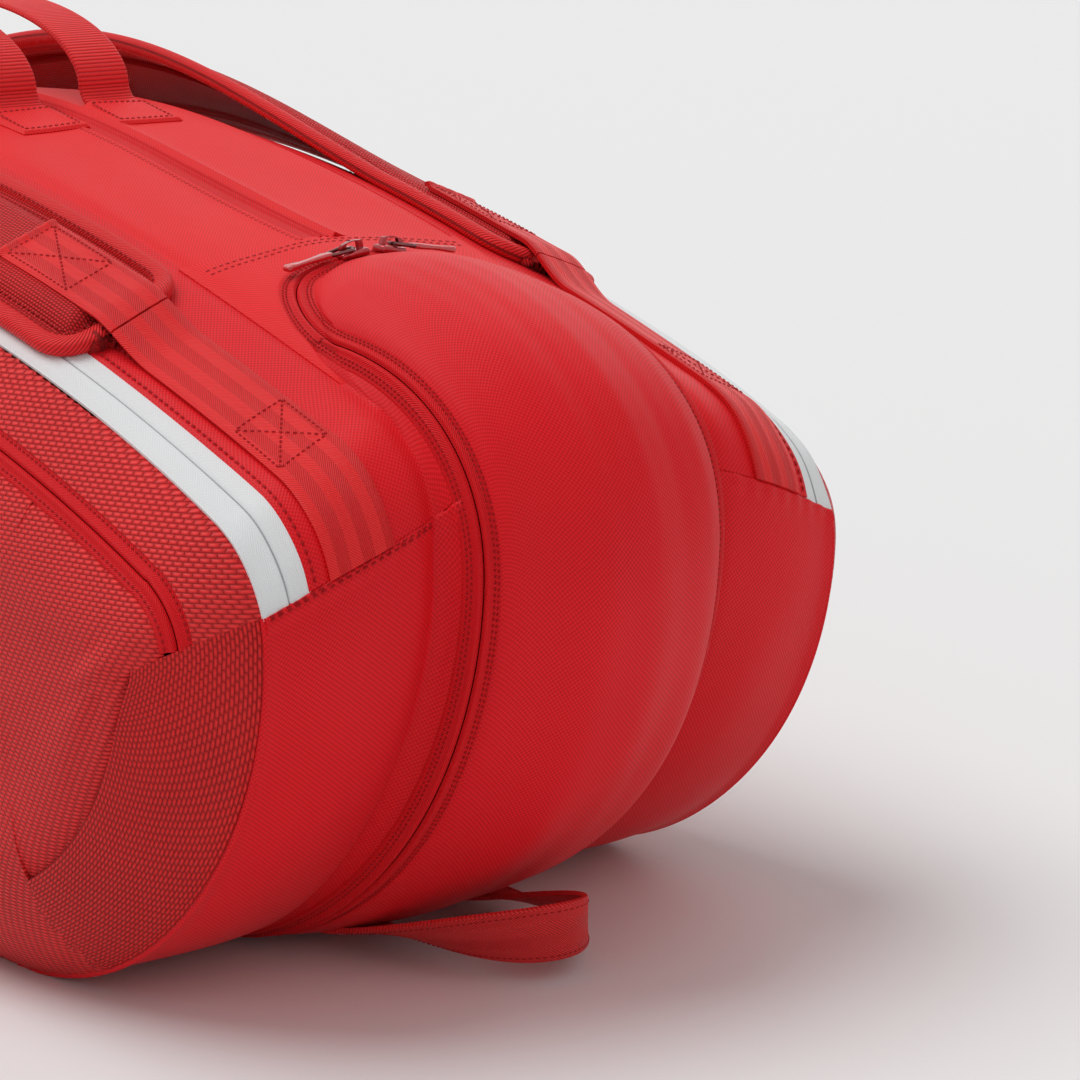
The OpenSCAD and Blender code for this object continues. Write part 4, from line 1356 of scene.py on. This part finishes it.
@dataclass(frozen=True)
class GrabHandle:
    """One carry handle and the patches that its ends go under."""

    side: Side
    x0: float = -120.0
    span: float = 172.0
    rise: float = 34.0
    y: float = 23.0
    wide: float = 25.0
    thick: float = 2.4
    root: float = 5.5

    def ground(self, x: float) -> float:
        """Height of the flap under the handle."""
        return float(SHAPE.top(x, self.side.value * self.y)[2])

    def build(self) -> None:
        """Builds the arch, its feet, and the stitched patches."""
        k, w = self.side.value, self.side.word
        x1 = self.x0 + self.span
        axis = max(self.ground(self.x0), self.ground(x1)) + self.root
        a = np.linspace(0, math.pi, 120)
        arch = np.stack([(self.x0 + x1) / 2 - (self.span / 2 - 1) * np.cos(a), 0 * a + k * self.y,
                         axis + 3.0 + (self.rise - 1) * np.sin(a)], -1)
        foot = []
        for x, e in ((self.x0, -1), (x1, 1)):
            z = self.ground(x) + 1.6
            t = np.linspace(0, 1, 26)[:, None]
            out = np.array([x + e * 15.0, k * self.y, self.ground(x + e * 15.0) + 1.4])
            base = np.array([x + e * 2.0, k * self.y, z])
            tip = np.array([x + e * -1.0, k * self.y, axis + 3.0])
            c = out * (1 - t) ** 3 + 3 * base * t * (1 - t) ** 2
            c = c + 3 * (base * 0.6 + tip * 0.4) * t * t * (1 - t) + tip * t ** 3
            foot.append(c[:-1])
        path = np.concatenate([foot[0], arch, foot[1][::-1]])
        t = unit(np.gradient(path, axis=0))
        up = unit(np.cross(t, np.array([0.0, 1.0, 0.0])))
        up = up * np.where(up[60:61, 2:3] < 0, -1, 1)
        w2, t2 = self.wide / 2, self.thick / 2
        hem = [(-w2, 0), (-w2 + 0.5, -t2 * 0.8)]
        hem += [(x, -t2) for x in np.linspace(-w2 + 1.4, w2 - 1.4, 12)]
        hem += [(w2 - 0.5, -t2 * 0.8), (w2, 0), (w2 - 0.5, t2 * 0.8)]
        hem += [(x, t2) for x in np.linspace(w2 - 1.4, -w2 + 1.4, 12)] + [(-w2 + 0.5, t2 * 0.8)]
        hold = Hold(f"{w}_flap", f"{w}_handle", (0, 0, (axis - 4.0) * MM), (0, 0, (axis + 5.0) * MM))
        dense = self.even(path, up, 0.8)
        MAKE.sweep(f"{w}_handle_webbing", dense[0], dense[1], np.array(hem), HANDLE_WEB, hold,
                   [f"{w}_grab_handle"])
        for name, x, e in (("far", self.x0, -1), ("near", x1, 1)):
            self.patch(name, x, e)

    @staticmethod
    def even(path: Array, up: Array, step: float) -> tuple[Array, Array]:
        """The path and its ups at even steps."""
        run = runs(path)
        t = np.arange(0, run[-1], step)
        return (np.stack([np.interp(t, run, path[:, i]) for i in range(3)], -1),
                unit(np.stack([np.interp(t, run, up[:, i]) for i in range(3)], -1)))

    def patch(self, name: str, x: float, e: int) -> None:
        """A stitched patch over one end of the handle."""
        k, w = self.side.value, self.side.word
        x0, x1 = x + e * 5.0, x + e * 31.0
        half = self.wide / 2 + 3.5

        def cloth(u: Array, v: Array) -> Array:
            xx, yy = mix(x0, x1, u), k * self.y + mix(-half, half, v)
            return SHAPE.skin(SHAPE.s_at(xx, yy), yy)

        def height(u: Array, v: Array) -> Array:
            d = np.minimum((1 - u) * 26, half * 2 * np.minimum(v, 1 - v))
            under = smooth(0.5, 5.0, half * 2 * np.minimum(v, 1 - v))
            return 1.2 + 1.2 * np.clip(d / 1.2, 0, 1) ** 0.5 + 2.0 * (1 - u) ** 2 * under

        hold = Hold(f"{w}_flap")
        MAKE.shell(f"{w}_handle_patch_{name}", cloth, 40, 44, FLAP_CLOTH, hold, height,
                   1.6, [f"{w}_handle_roots"], turned=e < 0)
        box = [(2.5, -half + 3), (23, -half + 3), (23, half - 3), (2.5, half - 3), (2.5, -half + 3)]
        way = np.array(box)
        seg = runs(way)
        t = np.linspace(0, seg[-1], 70)
        px, py = x0 + e * np.interp(t, seg, way[:, 0]), k * self.y + np.interp(t, seg, way[:, 1])
        s = SHAPE.s_at(px, py)
        up = SHAPE.normal(s, py)
        lift = 2.5 + 2.0 * (1 - np.abs(px - x0) / 26) ** 2
        row = SHAPE.skin(s, py) + up * lift[:, None]
        MAKE.stitches(f"{w}_handle_patch_stitches_{name}", [(row, up)], hold, "red_nylon", 2.8, 2.1, 0.36)


# ---------------------------------------------------------------- shoulder straps


@dataclass(frozen=True)
class ShoulderStrap:
    """One padded shoulder strap with its webbing."""

    side: Side
    lift: float = 0.0
    x0: float = -230.0
    x1: float = 239.0
    y: float = 102.5
    half: float = 28.5
    web_y: float = 99.0
    web_half: float = 12.5
    web_start: float = 173.0
    web_on_pad: float = -176.0
    web_near: float = 339.0
    web_far: float = -334.0
    web_low: float = 2.3
    web_high: float = 9.6
    lift_x0: float = -316.0
    lift_x1: float = 164.0
    end_round: float = 19.0

    def up(self, x: Array) -> Array:
        """How far the strap stands off the bag."""
        t = np.clip((x - self.lift_x0) / (self.lift_x1 - self.lift_x0), 0, 1)
        return self.lift * np.sin(math.pi * t) ** 1.5

    def width(self, x: Array, inset: float = 0.0) -> Array:
        """Half the width of the pad, or of its outline moved in."""
        e = np.minimum(self.x1 - inset - x, x - self.x0 - inset)
        r = self.end_round - inset
        return self.half - inset - r + r * np.clip(1 - np.clip(1 - e / r, 0, 1) ** 2.4, 0, 1) ** 0.42

    def place(self, x: Array, y: Array, h: Array = 0.0) -> Array:
        """Point h above the strap's underside; y is measured from the middle of the bag."""
        x, y = np.broadcast_arrays(np.asarray(x, float), np.asarray(y, float))
        yy = self.side.value * y

        def low(px: Array, py: Array) -> Array:
            p = SHAPE.skin(SHAPE.s_at(px, py), py)
            p[..., 2] += self.up(px) * (1 - 0.6 * smooth(72.0, 134.0, np.abs(py)))
            return p

        p = low(x, yy)
        n = unit(np.cross(low(x + 0.6, yy) - low(x - 0.6, yy), low(x, yy + 0.6) - low(x, yy - 0.6)))
        return p + n * np.asarray(h)[..., None]

    def raised(self, x: Array, y: Array, h: Array) -> tuple[Array, Array]:
        """Points h over the strap's underside, and the way up there."""
        p = self.place(x, y, h)
        return p, unit(self.place(x, y, h + 1) - p)

    def pad_top(self, x: Array, y: Array) -> Array:
        """Height of the pad over its underside."""
        e = self.width(x) - np.abs(y - self.y)
        e = np.minimum(e, np.minimum(self.x1 - x, x - self.x0))
        return 4.6 + 4.2 * smooth(7.0, 17.0, e) - 1.5 * bell(e - 10.0, 1.7)

    def build(self) -> None:
        """Builds the pad, its binding, its channel and the webbing."""
        w, k = self.side.word, self.side.value
        strap = Hold(f"{w}_strap")

        def xs(u: Array) -> Array:
            return self.x0 + (self.x1 - self.x0) * (0.5 - 0.5 * np.cos(math.pi * np.clip(u, 0, 1)))

        def cloth(u: Array, v: Array) -> Array:
            x = np.where(u < 0, self.x0 - 1.0, np.where(u > 1, self.x1 + 1.0, xs(u)))
            h = np.maximum(self.width(np.clip(x, self.x0, self.x1)) - 2.0, 1.0)
            return self.place(np.clip(x, self.x0 + 1.5, self.x1 - 1.5), self.y + h * mix(-1, 1, v), 1.0)

        def height(u: Array, v: Array) -> Array:
            x = xs(u)
            h = np.maximum(self.width(x) - 2.0, 1.0)
            return self.pad_top(x, self.y + h * mix(-1, 1, v)) - 1.0

        pad = MAKE.shell(f"{w}_strap_pad", cloth, 300, 56, PAD_MESH, strap, height,
                         lambda u, v: height(u, v) - 0.2, [f"{w}_shoulder_pad"], turned=k < 0)
        self.edge(strap)
        self.webbing(strap)

    def outline(self, inset: float) -> tuple[Array, Array]:
        """x and y of the pad's outline, moved in."""
        n = 900
        t = np.linspace(0, 1, n)
        x = self.x0 + inset + (self.x1 - self.x0 - 2 * inset) * (0.5 - 0.5 * np.cos(math.pi * t))
        h = self.width(x, inset)
        px = np.concatenate([x, x[::-1]])
        py = np.concatenate([self.y + h, (self.y - h)[::-1]])
        loop_x, loop_y = np.append(px, px[0]), np.append(py, py[0])
        run = np.concatenate([[0], np.cumsum(np.hypot(np.diff(loop_x), np.diff(loop_y)))])
        t = np.linspace(0, run[-1], int(run[-1] / 1.3))[:-1]
        return np.interp(t, run, loop_x), np.interp(t, run, loop_y)

    def edge(self, strap: Hold) -> None:
        """The binding rolled round the pad's edge, and the sewn channel inside it."""
        w = self.side.word
        x, y = self.outline(3.6)
        path = self.place(x, y, np.full(len(x), 3.7))
        up = unit(self.place(x, y, np.full(len(x), 5.0)) - path)
        a = np.arange(22) * 2 * math.pi / 22
        flat = np.stack([4.1 * np.sign(np.cos(a)) * np.abs(np.cos(a)) ** 0.8,
                         3.3 * np.sign(np.sin(a)) * np.abs(np.sin(a)) ** 0.85], -1)
        MAKE.sweep(f"{w}_strap_binding", path, up, flat, BINDING, strap, closed_path=True)
        rows = []
        for inset, h in ((6.6, 6.6), (10.2, 4.7)):
            x, y = self.outline(inset)
            rows.append(self.raised(x, y, np.full(len(x), h)))
        MAKE.stitches(f"{w}_strap_stitches", rows, strap, "pad_mesh", 3.0, 2.2, 0.36)

    def web_height(self, x: Array) -> Array:
        """Height of the webbing's middle over the strap's underside."""
        on_pad = (1 - smooth(self.x1 - 8, self.x1 + 24, x)) * smooth(self.x0 - 26, self.x0 + 12, x)
        return mix(self.web_low, self.web_high, on_pad) + 0.4 * bell(x - self.x1 + 4, 10)

    def band(self, x0: float, x1: float) -> Field:
        """A stretch of webbing from x0 to x1."""
        def field_(u: Array, v: Array) -> Array:
            x = mix(x0, x1, u)
            y = self.web_y + mix(-1, 1, v) * self.web_half
            return self.place(x, y, self.web_height(x))

        return field_

    def box(self, x0: float, x1: float, h: float) -> list[tuple[Array, Array]]:
        """A square of stitches with a cross in it."""
        y0, y1 = self.web_y - self.web_half + 2.2, self.web_y + self.web_half - 2.2
        rows = []
        for way in (((x0, y0), (x1, y0), (x1, y1), (x0, y1), (x0, y0)), ((x0, y0), (x1, y1)),
                    ((x0, y1), (x1, y0))):
            p = np.array(way, float)
            seg = runs(p)
            t = np.linspace(0, seg[-1], max(12, int(seg[-1] / 1.5)))
            x, y = np.interp(t, seg, p[:, 0]), np.interp(t, seg, p[:, 1])
            rows.append(self.raised(x, y, self.web_height(x) + h))
        return rows

    def webbing(self, strap: Hold) -> None:
        """The webbing sewn on the pad and the bag, at both ends."""
        w, k = self.side.word, self.side.value
        carcass = Hold("carcass")

        def hem(u: Array, v: Array) -> Array:
            d = 2 * self.web_half * np.minimum(v, 1 - v)
            stripe = 0.16 * np.abs(np.sin(v * math.pi * 5)) ** 0.6
            return 0.45 * np.clip(d / 0.8, 0, 1) ** 0.5 + stripe

        def fold(u: Array, v: Array) -> Array:
            return hem(u, v) + 1.3 * bell(u * (self.x1 + 3 - self.web_start) - 1.6, 1.7)

        node = [f"{w}_pad_webbing"]
        a, b = self.x1 + 3.0, self.x1 + 3.8
        turned = k < 0
        MAKE.shell(f"{w}_strap_webbing_near", self.band(self.web_start, a), 110, 30, WEBBING, strap, fold,
                   1.8, node, turned)
        MAKE.shell(f"{w}_strap_webbing_far", self.band(self.x0 - 3.0, self.web_on_pad), 90, 30, WEBBING,
                   strap, hem, 1.8, node, turned)
        MAKE.stitches(f"{w}_strap_box_near", self.box(self.web_start + 4.0, self.web_start + 40.0, 0.55),
                      strap, "webbing", 2.4, 1.8, 0.4)
        MAKE.shell(f"{w}_bag_webbing_near", self.band(b, self.web_near), 150, 30, WEBBING, carcass, hem,
                   1.8, [f"{w}_near_webbing"], turned)
        self.drop(carcass, hem, turned)
        MAKE.stitches(f"{w}_bag_box_near", self.box(self.web_near - 29.0, self.web_near - 4.0, 0.55), carcass,
                      "webbing", 2.4, 1.8, 0.4)
        MAKE.shell(f"{w}_bag_webbing_far", self.band(self.web_far, self.x0 - 3.8), 120, 30, WEBBING,
                   carcass, hem, 1.8, [f"{w}_far_webbing"], turned)

    def drop(self, carcass: Hold, hem: Field, turned: bool) -> None:
        """The webbing from its stitched box down to the end seam."""
        w, k = self.side.word, self.side.value
        s0 = float(SHAPE.s_at(self.web_near - 2.0, k * self.web_y))

        def cloth(u: Array, v: Array) -> Array:
            y = k * (self.web_y + mix(-1, 1, v) * self.web_half)
            return SHAPE.skin(mix(s0, SHAPE.seam_s + 0.006, u), y)

        MAKE.shell(f"{w}_bag_webbing_end", cloth, 50, 30, WEBBING, carcass,
                   lambda u, v: hem(u, v) + mix(self.web_low, 1.9, u), 1.6, turned=turned)


@dataclass(frozen=True)
class EndLoop:
    """The grab loop under the near end."""

    x0: float = 270.0
    x1: float = 362.0
    y: float = 32.0
    wide: float = 25.0

    def build(self) -> None:
        """Builds the loop, turned on edge at its front, and its stitches."""
        z0 = float(SHAPE.under(self.x0, self.y + self.wide / 2)[2]) - 2.2

        def path(u: Array, v: Array) -> Array:
            a = math.pi * np.clip(u, -0.02, 1.02)
            c = np.maximum(np.sin(a), 0)
            q = (v - 0.5) * self.wide
            turn = math.radians(80) * c
            return np.stack([mix(self.x0, self.x1, c ** 0.8) + q * 0.35 * c,
                             -self.y * np.cos(a) - q * np.cos(turn),
                             z0 + 13 * c + q * np.sin(turn)], -1)

        def hem(u: Array, v: Array) -> Array:
            d = self.wide * np.minimum(v, 1 - v)
            return 0.55 * np.clip(d / 0.7, 0, 1) ** 0.5 + 0.5

        hold = Hold("grab_loop")
        MAKE.shell("grab_loop_webbing", path, 220, 30, LOOP_WEB, hold, hem, 1.9, ["end_grab_loop"])
        rows = []
        for v in (0.1, 0.9):
            u = np.linspace(0.02, 0.98, 160)
            p = path(u, np.full(160, v))
            n = unit(np.cross(np.gradient(p, axis=0), path(u, np.full(160, v + 0.02)) - p))
            rows.append((p + n * 1.05, n))
        MAKE.stitches("grab_loop_stitches", rows, hold, "webbing", 2.6, 1.9, 0.3)


# ---------------------------------------------------------------- zip sliders


@dataclass(frozen=True)
class ZipSlider:
    """A zip slider with its wire and moulded tip, drawn over its construction nodes."""

    name: str
    origin: tuple[float, float, float]
    along: tuple[float, float, float]
    out: tuple[float, float, float]
    length: float = 12.0
    width: float = 8.0
    high: float = 4.0

    @property
    def matrix(self) -> Matrix:
        """From the slider's own axes to the bag's, in metres."""
        x = unit(np.array(self.along, float))
        z = np.array(self.out, float)
        z = unit(z - x * (z @ x))
        y = np.cross(z, x)
        m = Matrix(np.vstack([np.column_stack([x, y, z, np.array(self.origin) * MM]), [0, 0, 0, 1]]).tolist())
        return m

    def finish(self, o: bpy.types.Object, name: str, body: str, finish: HardFinish,
               stands_for: Sequence[str] = ()) -> None:
        """Names, smooths, places and dresses a piece, and puts it on its body."""
        o.name = o.data.name = name
        MAKE.pick(o)
        bpy.ops.object.shade_smooth_by_angle(angle=math.radians(35))
        o.data.transform(self.matrix)
        o.data.materials.clear()
        o.data.materials.append(finish.make())
        MAKE.settle(o, Hold(body), stands_for)

    @staticmethod
    def select(o: bpy.types.Object, test: Callable[[Vector, Vector], bool]) -> None:
        """Selects an object's faces by their middle and normal, in edit mode."""
        bpy.ops.object.mode_set(mode="OBJECT")
        for v in o.data.vertices:
            v.select = False
        for e in o.data.edges:
            e.select = False
        for f in o.data.polygons:
            f.select = test(f.center, f.normal)
        bpy.ops.object.mode_set(mode="EDIT")
        bpy.ops.mesh.select_mode(type="FACE")

    def block(self, size: tuple[float, float, float], at: tuple[float, float, float]) -> bpy.types.Object:
        """A box to start from, in mm."""
        bpy.ops.object.select_all(action="DESELECT")
        bpy.ops.mesh.primitive_cube_add(size=1, location=[c * MM for c in at])
        o = bpy.context.object
        o.scale = [c * MM for c in size]
        bpy.ops.object.transform_apply(location=True, rotation=False, scale=True)
        return o

    def soften(self, o: bpy.types.Object, width: float, segments: int = 3) -> None:
        """Rounds an object's edges."""
        mod = o.modifiers.new("round", "BEVEL")
        mod.width, mod.segments, mod.limit_method = width * MM, segments, "ANGLE"
        MAKE.pick(o)
        bpy.ops.object.modifier_apply(modifier=mod.name)

    def build(self) -> None:
        """Builds the slider's body and bridge, then the wire and the tip."""
        base = self.block((self.length, self.width, self.high - 1.5), (0, 0, (self.high - 1.5) / 2))
        self.select(base, lambda c, n: n.x > 0.9)
        bpy.ops.transform.resize(value=(1, 0.62, 1))
        self.select(base, lambda c, n: n.x < -0.9)
        bpy.ops.transform.resize(value=(1, 0.86, 1))
        self.select(base, lambda c, n: n.z > 0.9)
        bpy.ops.mesh.inset(thickness=0.8 * MM, depth=0.35 * MM)
        bpy.ops.object.mode_set(mode="OBJECT")
        self.soften(base, 0.5)
        bridge = self.block((2.2, 1.8, 2.4), (-self.length / 2 + 2, 0, self.high - 0.4))
        self.select(bridge, lambda c, n: n.z > 0.9)
        for dx, dz in ((0.6, 1.0), (3.4, 0.6), (3.4, -0.6), (0.6, -1.0)):
            bpy.ops.mesh.extrude_region_move(TRANSFORM_OT_translate={"value": (dx * MM, 0, dz * MM)})
        bpy.ops.mesh.extrude_region_move(TRANSFORM_OT_translate={"value": (0, 0, -1.6 * MM)})
        bpy.ops.object.mode_set(mode="OBJECT")
        bpy.ops.object.select_all(action="DESELECT")
        base.select_set(True)
        bridge.select_set(True)
        bpy.context.view_layer.objects.active = base
        bpy.ops.object.join()
        self.finish(base, f"{self.name}_slider_body", f"{self.name}_slider", ENAMEL, [f"{self.name}_slider"])
        z = self.high - 0.3
        bpy.ops.object.select_all(action="DESELECT")
        bpy.ops.mesh.primitive_torus_add(major_radius=3.6 * MM, minor_radius=0.75 * MM, major_segments=40,
                                         minor_segments=10, location=(3.6 * MM, 0, z * MM))
        wire = bpy.context.object
        bpy.ops.object.transform_apply(location=True)
        self.select(wire, lambda c, n: c.x > 3.6 * MM)
        bpy.ops.transform.translate(value=(4.4 * MM, 0, 0))
        bpy.ops.transform.resize(value=(1, 0.72, 1), center_override=(8.0 * MM, 0, z * MM))
        bpy.ops.object.mode_set(mode="OBJECT")
        self.finish(wire, f"{self.name}_pull_wire", f"{self.name}_pull", WIRE, [f"{self.name}_pull"])
        tab = self.block((4.0, 4.4, 2.2), (12.0, 0, z))
        self.select(tab, lambda c, n: n.x > 0.9)
        for dx, k in ((5.0, 0.72), (5.0, 1.0), (3.0, 1.45), (3.0, 1.12), (1.6, 0.55)):
            bpy.ops.mesh.extrude_region_move(TRANSFORM_OT_translate={"value": (dx * MM, 0, 0)})
            bpy.ops.transform.resize(value=(1, k, 0.5 + 0.5 * k))
        bpy.ops.object.mode_set(mode="OBJECT")
        self.soften(tab, 0.7)
        self.finish(tab, f"{self.name}_pull_tip", f"{self.name}_pull", MOULDED)


def sliders() -> list[ZipSlider]:
    """Every slider, placed on the bag's shape."""
    out = []
    tape, pocket_x, tilt = 1.5, 40.0, math.radians(48)
    y0, y1 = 9.0, 37.0

    def over_top(x: float, y: float, back_way: bool, d: float) -> tuple:
        p, q = SHAPE.top(x, y), SHAPE.top(x + 1, y)
        way = unit(q - p) * (-1 if back_way else 1)
        n = unit(np.array([-(q - p)[2], 0, (q - p)[0]]))
        return tuple(p + np.array([0, 0, d])), tuple(way), tuple(n)

    for side in Side:
        k, w = side.value, side.word
        a, b = (SHAPE.ring(SHAPE.door_s(np.array(y)) + 0.005, k * y) for y in (y0, y1))
        way = np.array([0, k * (y1 - y0), float(b[2] - a[2])])
        out.append(ZipSlider(f"{w}_door", tuple(a + np.array([0, 0, tape])), tuple(way), (0, 0, 1)))
        out.append(ZipSlider(f"{w}_main", *over_top(-275.0, k * 128.0, True, tape)))
        s = float(SHAPE.s_at(pocket_x, SHAPE.edge_y))
        z = float(SHAPE.on(0, np.array(abs(s)))[1]) - SideLid.zip_d
        n = np.array([0, k * math.sin(tilt), math.cos(tilt)])
        p = np.array([pocket_x, k * (SHAPE.edge_y + 0.4 + 0.66 * SHAPE.pocket_d + 2.5), z]) - n * 3.6
        out.append(ZipSlider(f"{w}_pocket", tuple(p), (1, 0, 0), tuple(n)))
    out.append(ZipSlider("top", *over_top(-157.0, 0.0, True, 0.5)))
    return out


# ---------------------------------------------------------------- studio


@dataclass(frozen=True)
class Studio:
    """The floor, the lamps and the camera."""

    azimuth: float = 48.0
    elevation: float = 12.0
    lens: float = 126.67
    camera: tuple[float, float, float] = (1.3389, -0.8947, 0.4477)
    pale: float = 0.83

    def build(self) -> None:
        """Sets the stage."""
        scene = bpy.context.scene
        scene.view_settings.view_transform = "Standard"
        self.floor()
        self.world(scene)
        self.sun("key", (-0.6, -0.45, 1.5), 45.0, 1.75)
        self.sun("fill", (0.9, 0.05, 0.5), 60.0, 0.28)
        self.sun("rim", (-0.5, 1.0, 0.8), 40.0, 0.3)
        cam = bpy.data.cameras.new("camera")
        cam.lens, cam.sensor_width = self.lens, 36.0
        cam.clip_start, cam.clip_end = 0.05, 50
        o = bpy.data.objects.new("camera", cam)
        a, e = math.radians(self.azimuth), math.radians(self.elevation)
        ahead = Vector((-math.sin(a) * math.cos(e), math.cos(a) * math.cos(e), -math.sin(e)))
        o.location = self.camera
        o.rotation_euler = ahead.to_track_quat("-Z", "Y").to_euler()
        scene.collection.objects.link(o)
        scene.camera = o

    def sun(self, name: str, towards: tuple[float, float, float], spread: float, power: float) -> None:
        """A soft sun lamp that shines from one direction."""
        light = bpy.data.lights.new(name, "SUN")
        light.angle, light.energy = math.radians(spread), power
        o = bpy.data.objects.new(name, light)
        o.rotation_euler = Vector(towards).to_track_quat("Z", "Y").to_euler()
        bpy.context.scene.collection.objects.link(o)

    def rays(self, n: Nodes) -> bpy.types.NodeSocket:
        """1 for the camera's rays and those that mirrors and glass send on."""
        path = n.tree.nodes.new("ShaderNodeLightPath")
        a = n.math("MAXIMUM", path.outputs["Is Camera Ray"], path.outputs["Is Glossy Ray"])
        return n.math("MAXIMUM", a, path.outputs["Is Transmission Ray"])

    def floor(self) -> None:
        """A wide pale floor that shows its own colour and the bag's shadow."""
        bpy.ops.object.select_all(action="DESELECT")
        bpy.ops.mesh.primitive_grid_add(x_subdivisions=8, y_subdivisions=8, size=30, location=(0, 0, 0))
        o = bpy.context.object
        o.name = "studio_floor"
        m = bpy.data.materials.new("studio_floor")
        m.use_nodes = True
        shader = m.node_tree.nodes["Principled BSDF"]
        shader.inputs["Roughness"].default_value = 0.9
        shader.inputs["Base Color"].default_value = (self.pale, self.pale, self.pale, 1)
        o.data.materials.append(m)

    def world(self, scene: bpy.types.Scene) -> None:
        """A pale world behind the bag and a softer one round it."""
        w = bpy.data.worlds.new("studio")
        scene.world = w
        w.use_nodes = True
        n = Nodes(w.node_tree)
        back = w.node_tree.nodes["Background"]
        back.inputs["Color"].default_value = (self.pale, self.pale, self.pale, 1)
        n.link(n.math("MULTIPLY_ADD", self.rays(n), 0.56, 0.44), back.inputs["Strength"])


DOOR = EndDoor()


def main() -> None:
    """Builds the bag's parts in order."""
    logging.basicConfig(level=logging.INFO, format="%(message)s")
    Studio().build()
    Carcass().build()
    DOOR.build()
    for side in Side:
        MainZip(side).build()
        SideLid(side).build()
    TopFlaps().build()
    for side in Side:
        GrabHandle(side).build()
    ShoulderStrap(Side.LEFT).build()
    ShoulderStrap(Side.RIGHT, lift=27.0).build()
    EndLoop().build()
    for slider in sliders():
        slider.build()
    LOG.info("%d pieces", len(MAKE.made))


if __name__ == "__main__":
    main()
